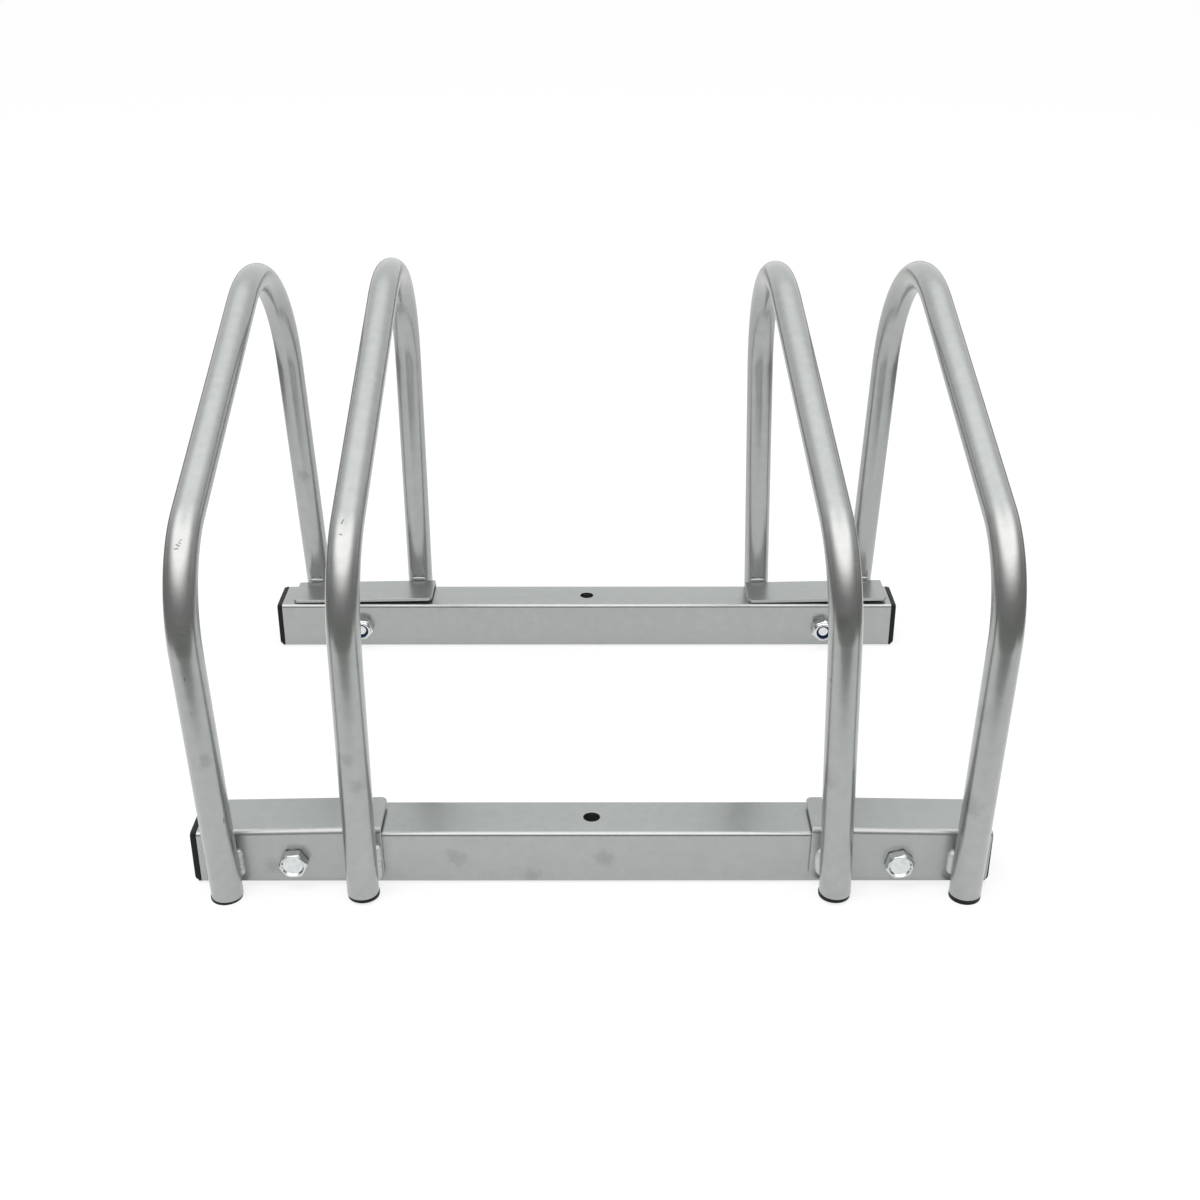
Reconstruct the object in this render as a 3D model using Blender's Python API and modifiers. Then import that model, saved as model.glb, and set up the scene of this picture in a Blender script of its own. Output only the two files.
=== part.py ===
"""Floor stand for two bicycles.

Two square crossbars lie on the floor. Four bent tube hoops stand across them in two pairs,
and a wheel rolls in between the hoops of a pair. Each pair is welded to a bent bracket at the
front and one at the rear, and one bolt with a lock nut holds each bracket to its crossbar.

Lengths are in metres and angles in degrees. X runs to the right along the crossbars, Y to the
back and Z up. The stand's middle on the floor is the origin.
"""
import math

import bmesh
import bpy
from mathutils import Matrix, Vector

# Gap between pieces that touch on the real stand.
CLEARANCE = 0.0003

# Crossbars, square steel tube.
BAR_LENGTH = 0.400
BAR_SIDE = 0.030
BAR_WALL = 0.0012
BAR_CORNER = 0.0022
BAR_SPACING = 0.261
BAR_RISE = 0.0005
REAR_BAR_SHIFT = -0.0045
ANCHOR_HOLE = 0.0085

# End caps of the crossbars, moulded plastic with a ribbed stem.
CAP_FLANGE = 0.0029
CAP_EDGE = 0.0006
CAP_STEM = 0.014
CAP_WALL = 0.0016
CAP_RIB = 0.0008
CAP_RIB_DEPTH = 0.0009
CAP_RIBS = 3

# Hoops, round steel tube. The leans are of the legs towards the front, seen from the side. The
# middle of a pair lies this far in from the crossbars' ends.
HOOP_TUBE = 0.016
HOOP_WALL = 0.0012
FRONT_LEG_LEAN = 1.6
REAR_LEG_LEAN = 4.3
PAIR_INSET = 0.048
LEG_SPACING = 0.0675

# Foot plugs under the legs, moulded plastic.
PLUG_FLANGE = 0.0013
PLUG_EDGE = 0.0004
PLUG_STEM = 0.012
PLUG_WALL = 0.0013
PLUG_BARB = 0.0016
PLUG_BARB_DEPTH = 0.0006
PLUG_BARBS = 2

# Brackets, bent sheet steel.
BRACKET_LENGTH = 0.091
BRACKET_SIDE = 0.030
BRACKET_PLATE = 0.002
BRACKET_BEND = 0.001
BRACKET_CORNER = 0.0035

# Bolts and lock nuts. The bolt's tip ends in the nut's insert, this far below the nut's end. The
# crowns are the flat round ends of a head and a nut, as shares of the width across flats.
BOLT_DIAMETER = 0.0078
BOLT_HOLE = 0.009
HEX_SIDE = 0.013
HEAD_HEIGHT = 0.0053
HEAD_RISE = 0.0004
TIP_DEPTH = 0.0016
HEAD_CROWN = 0.93
CROWN_SLOPE = 30
TIP_EDGE = 0.0008
NUT_HEIGHT = 0.008
NUT_HEX = 0.0062
NUT_CROWN = 0.95
COLLAR_WALL = 0.0006
INSERT_WALL = 0.0011
INSERT_HEIGHT = 0.0018

# Weld beads beside each leg, and across the top of each rear joint. A side bead lies where the
# corner between leg and bracket is this wide open. A top bead stands off the joint.
BEAD_RADIUS = 0.0027
BEAD_OPENING = 0.0037
BEAD_OFF_FACE = 0.0009
TOP_BEAD_LENGTH = 0.0095
TOP_BEAD_RADIUS = 0.0024
TOP_BEAD_FORWARD = 0.0012
TOP_BEAD_UP = 0.0007
BEAD_LENGTHS = {"left_outer": 0.0155, "left_inner": 0.021, "right_inner": 0.0155, "right_outer": 0.014}

# The stand was bolted and welded by hand. For each corner, how far its pieces sit to the right
# of their true places, how far its bolt sits above the middle of the bar, and by how many degrees
# its bracket rises to the right.
AS_BUILT = {
    "left_front": {"bolt": 0.0035, "rise": 0.0003, "bracket": 0.0031,
                   "outer": 0.0037, "inner": 0.0049, "tilt": 1.1},
    "right_front": {"bolt": 0.0061, "rise": -0.0003, "bracket": 0.0064,
                    "outer": 0.0054, "inner": 0.0073, "tilt": -1.0},
    "left_rear": {"bolt": 0.0021, "rise": 0.0, "bracket": 0.0029,
                  "outer": 0.0026, "inner": 0.0027, "tilt": 1.0},
    "right_rear": {"bolt": 0.0010, "rise": -0.0011, "bracket": -0.0022,
                   "outer": -0.0042, "inner": -0.0046, "tilt": 1.1},
}
# How high each front foot stands off the floor, and how thick its plug's flange is below the tube.
FRONT_FEET = {"left_outer": (0.0, 0.0013), "left_inner": (0.0012, 0.0017), "right_inner": (0.0012, 0.0018),
              "right_outer": (0.0, 0.0023)}
# The hoops were bent by hand too: height of the corner that a bend rounds, and the bend's radius.
ELBOWS = {"left_outer": (0.1816, 0.056), "left_inner": (0.1811, 0.051), "right_inner": (0.1841, 0.050),
          "right_outer": (0.1840, 0.054)}
APEXES = {"left_outer": (0.2887, 0.0795), "left_inner": (0.2927, 0.0785), "right_inner": (0.2902, 0.0805),
          "right_outer": (0.2917, 0.0825)}
# How far each hoop leans to the right, in degrees.
HOOP_LEAN = {"left_outer": -1.6, "left_inner": 0.5, "right_inner": -2.1, "right_outer": 1.2}

# Number of facets of round pieces.
TUBE_SIDES = 16
ROUND_STEPS = 18
SMALL_STEPS = 12
BEAD_SIDES = 8
BEAD_RINGS = 5
ELBOW_STEPS = 6
APEX_STEPS = 9
CORNER_STEPS = 3
STEM_CORNER_STEPS = 1
# Edges sharper than this stay sharp where a piece is shaded smooth.
SHARP_ANGLE = 35
# Shortest radius that an outline's corner may have, and distance at which points are joined.
SMALLEST_CORNER = 0.0001
JOINED = 0.00001

SIDES = ("left", "right")
BARS = ("front", "rear")
OUTWARD = {"left": -1, "right": 1}
HOOPS = ("left_outer", "left_inner", "right_inner", "right_outer")

# Places that several pieces share.
BAR_TOP = BAR_RISE + BAR_SIDE
BAR_LEVEL = BAR_RISE + BAR_SIDE / 2
BRACKET_REACH = CLEARANCE + BRACKET_PLATE
TUBE_RADIUS = HOOP_TUBE / 2
BAR_AXIS = {"front": BAR_SIDE / 2, "rear": BAR_SPACING + BAR_SIDE / 2}
BAR_MIDDLE = {"front": -REAR_BAR_SHIFT / 2, "rear": REAR_BAR_SHIFT / 2}
# The crossbars' faces that carry the brackets look away from each other.
AWAY = {"front": -1, "rear": 1}
OUTER_FACE = {"front": 0.0, "rear": BAR_SPACING + BAR_SIDE}
HEX_FLAT = HEX_SIDE / 2
HEX_CORNER = HEX_SIDE / math.sqrt(3)
NUT_BORE = BOLT_DIAMETER / 2 + CLEARANCE
INSERT_RADIUS = NUT_BORE + INSERT_WALL
RECESS_RADIUS = INSERT_RADIUS + CLEARANCE
COLLAR_RADIUS = RECESS_RADIUS + COLLAR_WALL
RECESS_TOP = NUT_HEIGHT - COLLAR_WALL
INSERT_TOP = RECESS_TOP - CLEARANCE
QUARTER = math.radians(90)


def slope(degrees):
    return math.tan(math.radians(degrees))


def true_place(side):
    """Middle of a pair of hoops along the crossbars."""
    return OUTWARD[side] * (BAR_LENGTH / 2 - PAIR_INSET)


def bolt_place(side, bar):
    return true_place(side) + AS_BUILT[f"{side}_{bar}"]["bolt"]


def bolt_level(side, bar):
    return BAR_LEVEL + AS_BUILT[f"{side}_{bar}"]["rise"]


def bracket_offset(side, bar):
    """Middle of the bracket to the right of its bolt."""
    corner = AS_BUILT[f"{side}_{bar}"]
    return corner["bracket"] - corner["bolt"]


def bracket_seat(side, bar):
    """Height of the bracket's underside over the bar at its bolt, so that its low end clears the bar."""
    low_end = BRACKET_LENGTH / 2 + abs(bracket_offset(side, bar))
    return CLEARANCE + low_end * abs(slope(AS_BUILT[f"{side}_{bar}"]["tilt"]))


def leg_foot(hoop, bar):
    """Where the leg's axis meets the floor, along the crossbars."""
    side, position = hoop.split("_")
    off_middle = LEG_SPACING / 2 if position == "outer" else -LEG_SPACING / 2
    return true_place(side) + OUTWARD[side] * off_middle + AS_BUILT[f"{side}_{bar}"][position]


def foot_sizes(hoop, bar):
    """Height of a plug's underside off the floor, and thickness of its flange."""
    return FRONT_FEET[hoop] if bar == "front" else (0.0, PLUG_FLANGE)


def leg_end(hoop, bar):
    """Height of the tube's end over the floor."""
    return sum(foot_sizes(hoop, bar)) + CLEARANCE


def bracket_top(hoop, bar):
    """Height of the top of the bracket beside this hoop's leg."""
    side = hoop.split("_")[0]
    rise = slope(AS_BUILT[f"{side}_{bar}"]["tilt"]) * (leg_foot(hoop, bar) - bolt_place(side, bar))
    return BAR_TOP + bracket_seat(side, bar) + BRACKET_PLATE + rise


def foot_depth(bar):
    """Where a leg's axis meets the floor, seen from the side: the leg just clears its bracket."""
    if bar == "front":
        lean = FRONT_LEG_LEAN
        near = -(BRACKET_REACH + CLEARANCE + TUBE_RADIUS / math.cos(math.radians(lean)))
        lowest = min(bracket_top(hoop, bar) for hoop in HOOPS) - BRACKET_SIDE
        return near + slope(lean) * lowest
    lean = REAR_LEG_LEAN
    near = OUTER_FACE["rear"] + BRACKET_REACH + CLEARANCE
    highest = max(bracket_top(hoop, bar) for hoop in HOOPS)
    return near + TUBE_RADIUS / math.cos(math.radians(lean)) + slope(lean) * highest


def leg_depth(bar, height):
    """Depth of a leg's axis at a height."""
    lean = FRONT_LEG_LEAN if bar == "front" else REAR_LEG_LEAN
    return foot_depth(bar) - slope(lean) * height


def in_hoop(hoop, depth, height):
    """The point of the hoop's leaning plane at this depth and height."""
    front, rear = foot_depth("front"), foot_depth("rear")
    along = (depth - front) / (rear - front)
    start, end = leg_foot(hoop, "front"), leg_foot(hoop, "rear")
    return Vector((start + (end - start) * along + slope(HOOP_LEAN[hoop]) * height, depth, height))


def on_leg(hoop, bar, height):
    return in_hoop(hoop, leg_depth(bar, height), height)


def leg_lean(hoop, bar):
    """How far a leg's axis moves over each metre of height."""
    return on_leg(hoop, bar, 1) - on_leg(hoop, bar, 0)


def rounded_corner(before, corner, after, radius, steps):
    """Points of an arc that rounds a corner between two straight runs."""
    arriving = (corner - before).normalized()
    leaving = (after - corner).normalized()
    turn = arriving.angle(leaving)
    start = corner - arriving * radius * math.tan(turn / 2)
    inward = (leaving - arriving * arriving.dot(leaving)).normalized()
    centre = start + inward * radius
    return [
        centre + radius * (math.sin(turn * i / steps) * arriving - math.cos(turn * i / steps) * inward)
        for i in range(steps + 1)
    ]


def side_route(hoop):
    """The hoop's centre line seen from the side, as depths and heights, front foot first."""
    elbow_height, elbow_radius = ELBOWS[hoop]
    apex_height, apex_radius = APEXES[hoop]
    front_foot = Vector((leg_depth("front", PLUG_FLANGE), PLUG_FLANGE))
    elbow = Vector((leg_depth("front", elbow_height), elbow_height))
    apex = Vector((leg_depth("rear", apex_height), apex_height))
    rear_foot = Vector((leg_depth("rear", PLUG_FLANGE), PLUG_FLANGE))
    lower_bend = rounded_corner(front_foot, elbow, apex, elbow_radius, ELBOW_STEPS)
    upper_bend = rounded_corner(elbow, apex, rear_foot, apex_radius, APEX_STEPS)
    return [front_foot] + lower_bend + upper_bend + [rear_foot]


def stand_middle():
    """Depth of the middle of the whole stand, behind the front bar's front face."""
    depths = [point.x for hoop in HOOPS for point in side_route(hoop)]
    return (min(depths) + max(depths)) / 2


def clear_scene():
    for obj in list(bpy.data.objects):
        bpy.data.objects.remove(obj, do_unlink=True)


def new_collection(name):
    collection = bpy.data.collections.new(name)
    bpy.context.scene.collection.children.link(collection)
    return collection


def new_material(name, colour, roughness, metallic):
    material = bpy.data.materials.new(name)
    material.use_nodes = True
    shader = material.node_tree.nodes["Principled BSDF"]
    shader.inputs["Base Color"].default_value = (*colour, 1)
    shader.inputs["Roughness"].default_value = roughness
    shader.inputs["Metallic"].default_value = metallic
    return material


def place(obj, location=(0, 0, 0), rotation=(0, 0, 0)):
    obj.parent = origin
    obj.location = location
    obj.rotation_euler = rotation
    return obj


def add_part(name, data, material, smooth=True):
    """A piece of the stand. Its mesh may be shared with other pieces."""
    obj = bpy.data.objects.new(name, data)
    parts.objects.link(obj)
    if not data.materials:
        data.materials.append(material)
        if smooth:
            data.shade_smooth()
            data.set_sharp_from_angle(angle=math.radians(SHARP_ANGLE))
    return obj


def add_helper(name, data):
    """A cutter, or a shape that is joined into a piece."""
    obj = bpy.data.objects.new(name, data)
    helpers.objects.link(obj)
    obj.hide_render = True
    obj.display_type = "WIRE"
    return obj


def boolean(obj, other, operation):
    modifier = obj.modifiers.new(other.name, "BOOLEAN")
    modifier.operation = operation
    modifier.object = other


def baked(obj):
    """The mesh of a helper with its modifiers applied. The helper is removed."""
    bpy.context.view_layer.update()
    graph = bpy.context.evaluated_depsgraph_get()
    data = bpy.data.meshes.new_from_object(obj.evaluated_get(graph))
    data.transform(obj.matrix_world)
    data.name = obj.name
    bpy.data.objects.remove(obj, do_unlink=True)
    return data


def mesh_of(name, build):
    """A mesh that a function fills in bmesh."""
    data = bpy.data.meshes.new(name)
    bm = bmesh.new()
    build(bm)
    bm.to_mesh(data)
    bm.free()
    return data


def cylinder(name, radius, length, segments=ROUND_STEPS):
    """A cylinder or prism along Z, centred on the origin."""
    return mesh_of(name, lambda bm: bmesh.ops.create_cone(
        bm, cap_ends=True, segments=segments, radius1=radius, radius2=radius, depth=length))


def turned(name, profile, steps=ROUND_STEPS, closed=False):
    """A helper whose profile of radii and heights is turned about Z."""
    def draw(bm):
        points = [bm.verts.new((radius, 0, height)) for radius, height in profile]
        pairs = list(zip(points, points[1:]))
        if closed:
            pairs.append((points[-1], points[0]))
        for pair in pairs:
            bm.edges.new(pair)
    obj = add_helper(name, mesh_of(name, draw))
    screw = obj.modifiers.new("turn", "SCREW")
    screw.axis = "Z"
    screw.steps = steps
    screw.render_steps = steps
    screw.use_merge_vertices = True
    screw.merge_threshold = JOINED
    return obj


def rounded_square(side, corner, steps=CORNER_STEPS):
    """Outline of a square with rounded corners."""
    corner = max(corner, SMALLEST_CORNER)
    inset = side / 2 - corner
    points = []
    for quarter, (x, y) in enumerate(((1, 1), (-1, 1), (-1, -1), (1, -1))):
        for i in range(steps + 1):
            angle = QUARTER * (quarter + i / steps)
            points.append((x * inset + corner * math.cos(angle), y * inset + corner * math.sin(angle)))
    return points


def extruded(name, outlines, length):
    """A mesh of flat outlines, the second one a hole, extruded along Z about the origin."""
    curve = bpy.data.curves.new(name, "CURVE")
    curve.dimensions = "2D"
    curve.fill_mode = "BOTH"
    curve.extrude = length / 2
    for outline in outlines:
        spline = curve.splines.new("POLY")
        spline.points.add(len(outline) - 1)
        spline.use_cyclic_u = True
        for point, (x, y) in zip(spline.points, outline):
            point.co = (x, y, 0, 1)
    obj = add_helper(name, curve)
    data = baked(obj)
    bpy.data.curves.remove(curve)
    return welded(data)


def welded(data):
    bm = bmesh.new()
    bm.from_mesh(data)
    bmesh.ops.remove_doubles(bm, verts=bm.verts, dist=JOINED)
    bm.to_mesh(data)
    bm.free()
    return data


def make_crossbar(bar):
    """A square tube with two bolt holes through its front and back and an anchor hole down its middle."""
    bore = rounded_square(BAR_SIDE - 2 * BAR_WALL, BAR_CORNER - BAR_WALL)
    data = extruded(f"{bar}_crossbar", [rounded_square(BAR_SIDE, BAR_CORNER), bore], BAR_LENGTH)
    data.transform(Matrix.Rotation(QUARTER, 4, "Y"))
    obj = add_part(f"{bar}_crossbar", data, powder_coat)
    middle = (BAR_MIDDLE[bar], BAR_AXIS[bar], BAR_LEVEL)
    place(obj, middle)
    through = 2 * BAR_SIDE
    for side in SIDES:
        hole = add_helper(f"{side}_{bar}_bolt_hole", cylinder("bolt_hole", BOLT_HOLE / 2, through))
        place(hole, (bolt_place(side, bar), BAR_AXIS[bar], bolt_level(side, bar)), (QUARTER, 0, 0))
        boolean(obj, hole, "DIFFERENCE")
    anchor = add_helper(f"{bar}_anchor_hole", cylinder("anchor_hole", ANCHOR_HOLE / 2, through))
    place(anchor, middle)
    boolean(obj, anchor, "DIFFERENCE")


def cap_mesh():
    """An end cap along Z: a flange over the bar's end and a hollow ribbed stem that is pushed into it."""
    bore = BAR_SIDE - 2 * (BAR_WALL + CLEARANCE)
    bore_corner = BAR_CORNER - BAR_WALL
    stem = bore - 2 * CAP_RIB_DEPTH
    hollow = stem - 2 * CAP_WALL
    in_flange = CAP_FLANGE / 2

    def frame(outer, inner):
        return [rounded_square(side, bore_corner, STEM_CORNER_STEPS) for side in (outer, inner)]

    cap = add_helper("end_cap", extruded("stem", frame(stem, hollow), CAP_STEM + in_flange))
    cap.location.z = (in_flange - CAP_STEM) / 2
    pitch = CAP_STEM / (CAP_RIBS + 1)
    for i in range(CAP_RIBS):
        rib = add_helper(f"rib_{i}", extruded("rib", frame(bore, stem - CAP_WALL), CAP_RIB))
        rib.location.z = -pitch * (i + 1)
        boolean(cap, rib, "UNION")
    flange = add_helper("flange", extruded("flange", [rounded_square(BAR_SIDE, BAR_CORNER)], CAP_FLANGE))
    flange.location.z = CAP_FLANGE / 2
    soften = flange.modifiers.new("soft_edge", "BEVEL")
    soften.width = CAP_EDGE
    soften.segments = 1
    soften.angle_limit = math.radians(60)
    boolean(cap, flange, "UNION")
    return baked(cap)


def make_end_caps():
    data = cap_mesh()
    for bar in BARS:
        for side in SIDES:
            cap = add_part(f"{bar}_{side}_end_cap", data, black_plastic)
            end = BAR_MIDDLE[bar] + OUTWARD[side] * (BAR_LENGTH / 2 + CLEARANCE)
            place(cap, (end, BAR_AXIS[bar], BAR_LEVEL), (0, OUTWARD[side] * QUARTER, 0))


def tube_mesh(name, route):
    """An open tube along a route of points."""
    curve = bpy.data.curves.new(name, "CURVE")
    curve.dimensions = "3D"
    curve.bevel_depth = TUBE_RADIUS
    curve.bevel_resolution = TUBE_SIDES // 2 - 2
    spline = curve.splines.new("POLY")
    spline.points.add(len(route) - 1)
    for point, co in zip(spline.points, route):
        point.co = (*co, 1)
    data = baked(add_helper(name, curve))
    bpy.data.curves.remove(curve)
    return welded(data)


def cut_level(data, hoop):
    """Slides the tube's two end rings along their legs until they lie level."""
    middle = stand_middle()
    for vertex in data.vertices:
        if vertex.co.z < PLUG_FLANGE + TUBE_RADIUS:
            bar = "front" if vertex.co.y < middle else "rear"
            vertex.co += leg_lean(hoop, bar) * (leg_end(hoop, bar) - vertex.co.z)


def make_hoop(hoop):
    """One length of tube: up from the front foot, over the wheel and down to the rear foot."""
    data = tube_mesh(f"{hoop}_hoop", [in_hoop(hoop, point.x, point.y) for point in side_route(hoop)])
    cut_level(data, hoop)
    obj = place(add_part(f"{hoop}_hoop", data, powder_coat))
    wall = obj.modifiers.new("wall", "SOLIDIFY")
    wall.thickness = HOOP_WALL
    wall.offset = -1


def barbed_stem(root, crest, bottom, top):
    """Profile down the outside of a stem, with barbs that widen downwards to the crest."""
    pitch = (top - bottom) / (PLUG_BARBS + 1)
    points = [(root, top)]
    for i in range(PLUG_BARBS, 0, -1):
        lip = bottom + pitch * i
        points += [(root, lip + PLUG_BARB), (crest, lip), (root, lip)]
    return points


def plug_profile(flange):
    """Half section of a foot plug, hollow from the top."""
    crest = TUBE_RADIUS - HOOP_WALL - CLEARANCE
    root = crest - PLUG_BARB_DEPTH
    hollow = root - PLUG_WALL
    top = flange + PLUG_STEM
    floor = flange + PLUG_WALL
    stem = barbed_stem(root, crest, floor, top)
    inside = [(0, floor), (hollow, floor), (hollow, top)]
    foot = [(root, flange), (TUBE_RADIUS, flange), (TUBE_RADIUS, PLUG_EDGE)]
    return inside + stem + foot + [(TUBE_RADIUS - PLUG_EDGE, 0), (0, 0)]


def make_foot_plugs():
    """Each plug's stem follows the lean of its leg, and its flange lies level."""
    for hoop in HOOPS:
        for bar in BARS:
            lift, flange = foot_sizes(hoop, bar)
            data = baked(turned("foot_plug", plug_profile(flange), SMALL_STEPS))
            lean = leg_lean(hoop, bar)
            shear = Matrix(((1, 0, lean.x, 0), (0, 1, lean.y, 0), (0, 0, 1, 0), (0, 0, 0, 1)))
            data.transform(shear)
            foot = add_part(f"{hoop}_{bar}_foot", data, black_plastic)
            place(foot, on_leg(hoop, bar, lift))


def bracket_sheet(name, side, bar, grown=0.0):
    """The bent sheet about its bolt's axis, flange in front. Grown, it makes room for the gap around it."""
    seat = BAR_TOP - bolt_level(side, bar) + bracket_seat(side, bar)
    half = BRACKET_PLATE / 2
    outer = Vector((-BRACKET_REACH, seat + BRACKET_PLATE))
    corner = outer + Vector((half, -half))
    back = Vector((outer.x + BRACKET_SIDE + grown, corner.y))
    lower = Vector((corner.x, outer.y - BRACKET_SIDE - grown))
    bend = rounded_corner(back, corner, lower, BRACKET_BEND + half, CORNER_STEPS)
    length = BRACKET_LENGTH + 2 * grown
    start = -AWAY[bar] * bracket_offset(side, bar) - length / 2

    def fold(bm):
        section = [bm.verts.new((start, y, z)) for y, z in [back] + bend + [lower]]
        edges = [bm.edges.new(pair) for pair in zip(section, section[1:])]
        pulled = bmesh.ops.extrude_edge_only(bm, edges=edges)["geom"]
        moved = [item for item in pulled if isinstance(item, bmesh.types.BMVert)]
        bmesh.ops.translate(bm, vec=(length, 0, 0), verts=moved)
        ends = [v for v in bm.verts if len(v.link_edges) == 2]
        bmesh.ops.bevel(bm, geom=ends, offset=BRACKET_CORNER, segments=CORNER_STEPS, profile=0.5,
                        affect="VERTICES")

    return mesh_of(name, fold)


def thicken(obj, thickness):
    plate = obj.modifiers.new("plate", "SOLIDIFY")
    plate.thickness = thickness
    plate.offset = 0
    plate.use_even_offset = True


def seat_bracket(obj, side, bar):
    """Puts a bracket on its bolt's axis at the face of its bar, turned round at the rear, and tilts it."""
    tilt = AWAY[bar] * math.radians(AS_BUILT[f"{side}_{bar}"]["tilt"])
    turn = 0 if bar == "front" else 2 * QUARTER
    return place(obj, (bolt_place(side, bar), OUTER_FACE[bar], bolt_level(side, bar)), (0, tilt, turn))


def make_bracket(side, bar):
    """A bent sheet over the top and the outer face of the bar, with one bolt hole."""
    name = f"{side}_{bar}_bracket"
    obj = seat_bracket(add_part(name, bracket_sheet(name, side, bar), powder_coat), side, bar)
    thicken(obj, BRACKET_PLATE)
    hole = add_helper(f"{name}_hole", cylinder("bracket_hole", BOLT_HOLE / 2, 4 * BRACKET_REACH))
    place(hole, (bolt_place(side, bar), OUTER_FACE[bar], bolt_level(side, bar)), (QUARTER, 0, 0))
    boolean(obj, hole, "DIFFERENCE")


def hexagon(name, bottom, top):
    """A hexagonal prism between two heights."""
    data = cylinder(name, HEX_CORNER, top - bottom, segments=6)
    data.transform(Matrix.Translation((0, 0, (bottom + top) / 2)))
    return add_helper(name, data)


def crown_drop(crown):
    """How far the chamfer around a crown falls on its way out to the hexagon's corners."""
    return (HEX_CORNER - crown) * slope(CROWN_SLOPE)


def bolt_mesh():
    """A hexagon bolt: bearing face at the origin, head above, and a shank that ends in the nut's insert."""
    crown = HEAD_CROWN * HEX_FLAT
    rim = HEAD_HEIGHT - crown_drop(crown)
    beyond = HEX_CORNER + CLEARANCE
    head = hexagon("bolt_head", HEAD_RISE, HEAD_HEIGHT)
    chamfer = turned("head_crown", [
        (0, HEAD_HEIGHT), (crown, HEAD_HEIGHT), (HEX_CORNER, rim), (beyond, rim), (beyond, 0), (0, 0)])
    boolean(head, chamfer, "INTERSECT")
    washer = NUT_CROWN * HEX_FLAT
    radius = BOLT_DIAMETER / 2
    grip = BRACKET_REACH + BAR_SIDE + 2 * CLEARANCE
    tip = -(grip + NUT_HEIGHT - TIP_DEPTH)
    middle = HEAD_HEIGHT / 2
    shank = turned("bolt_shank", [
        (0, middle), (washer, middle), (washer, 0), (radius, 0), (radius, tip + TIP_EDGE),
        (radius - TIP_EDGE, tip), (0, tip)], SMALL_STEPS)
    boolean(head, shank, "UNION")
    return baked(head)


def nut_mesh():
    """A lock nut: bearing face at the origin, hexagon, and a collar rolled in over a recess."""
    crown = NUT_CROWN * HEX_FLAT
    drop = crown_drop(crown)
    nut = hexagon("lock_nut", 0, NUT_HEX)
    barrel = turned("nut_barrel", [
        (0, NUT_HEX), (crown, NUT_HEX), (HEX_CORNER, NUT_HEX - drop), (HEX_CORNER, drop), (crown, 0),
        (0, 0)], SMALL_STEPS)
    boolean(nut, barrel, "INTERSECT")
    middle = NUT_HEX / 2
    ring = turned("nut_collar", [
        (0, NUT_HEIGHT), (RECESS_RADIUS, NUT_HEIGHT), (COLLAR_RADIUS, RECESS_TOP), (COLLAR_RADIUS, middle),
        (0, middle)], SMALL_STEPS)
    boolean(nut, ring, "UNION")
    beyond = 2 * NUT_HEIGHT
    lip = INSERT_RADIUS - CLEARANCE
    low = INSERT_TOP - INSERT_HEIGHT - CLEARANCE
    room = turned("nut_bore", [
        (0, beyond), (lip, beyond), (lip, RECESS_TOP), (RECESS_RADIUS, RECESS_TOP), (RECESS_RADIUS, low),
        (NUT_BORE, low), (NUT_BORE, -NUT_HEIGHT), (0, -NUT_HEIGHT)], SMALL_STEPS)
    boolean(nut, room, "DIFFERENCE")
    return baked(nut)


def insert_mesh():
    """The ring that grips the bolt's thread inside the nut's collar."""
    low = INSERT_TOP - INSERT_HEIGHT
    section = [(INSERT_RADIUS, INSERT_TOP), (INSERT_RADIUS, low), (NUT_BORE, low), (NUT_BORE, INSERT_TOP)]
    return baked(turned("nut_insert", section, SMALL_STEPS, closed=True))


def make_fasteners():
    """The bolt heads bear on the brackets, and the lock nuts on the crossbars' inner faces."""
    bolt, nut, insert = bolt_mesh(), nut_mesh(), insert_mesh()
    for side in SIDES:
        for bar in BARS:
            corner = f"{side}_{bar}"
            x, z, away = bolt_place(side, bar), bolt_level(side, bar), AWAY[bar]
            head_place = (x, OUTER_FACE[bar] + away * (BRACKET_REACH + CLEARANCE), z)
            nut_place = (x, OUTER_FACE[bar] - away * (BAR_SIDE + CLEARANCE), z)
            outward, inward = (-away * QUARTER, 0, 0), (away * QUARTER, 0, 0)
            place(add_part(f"{corner}_bolt", bolt, zinc), head_place, outward)
            place(add_part(f"{corner}_lock_nut", nut, zinc), nut_place, inward)
            place(add_part(f"{corner}_nut_insert", insert, blue_nylon), nut_place, inward)


def capsule(name, radius, length):
    """A bead's blank along Z: a sphere whose two halves are drawn apart."""
    def draw(bm):
        bmesh.ops.create_uvsphere(bm, u_segments=BEAD_SIDES, v_segments=BEAD_RINGS, radius=radius)
        for vertex in bm.verts:
            vertex.co.z += math.copysign(length / 2 - radius, vertex.co.z)
    return mesh_of(name, draw)


def grown_bracket(side, bar):
    """The bracket's sheet with the gap around it."""
    name = f"{side}_{bar}_clear"
    sheet = add_helper(name, bracket_sheet(name, side, bar, CLEARANCE))
    thicken(seat_bracket(sheet, side, bar), BRACKET_PLATE + 2 * CLEARANCE)
    return sheet


def grown_leg(hoop, bar):
    """A cylinder along the lower part of a leg with the gap around it."""
    low, high = on_leg(hoop, bar, -BAR_TOP), on_leg(hoop, bar, 3 * BAR_TOP)
    along = high - low
    core = add_helper(f"{hoop}_{bar}_core", cylinder("leg_core", TUBE_RADIUS + CLEARANCE, along.length))
    return place(core, (low + high) / 2, along.to_track_quat("Z", "Y").to_euler())


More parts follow.
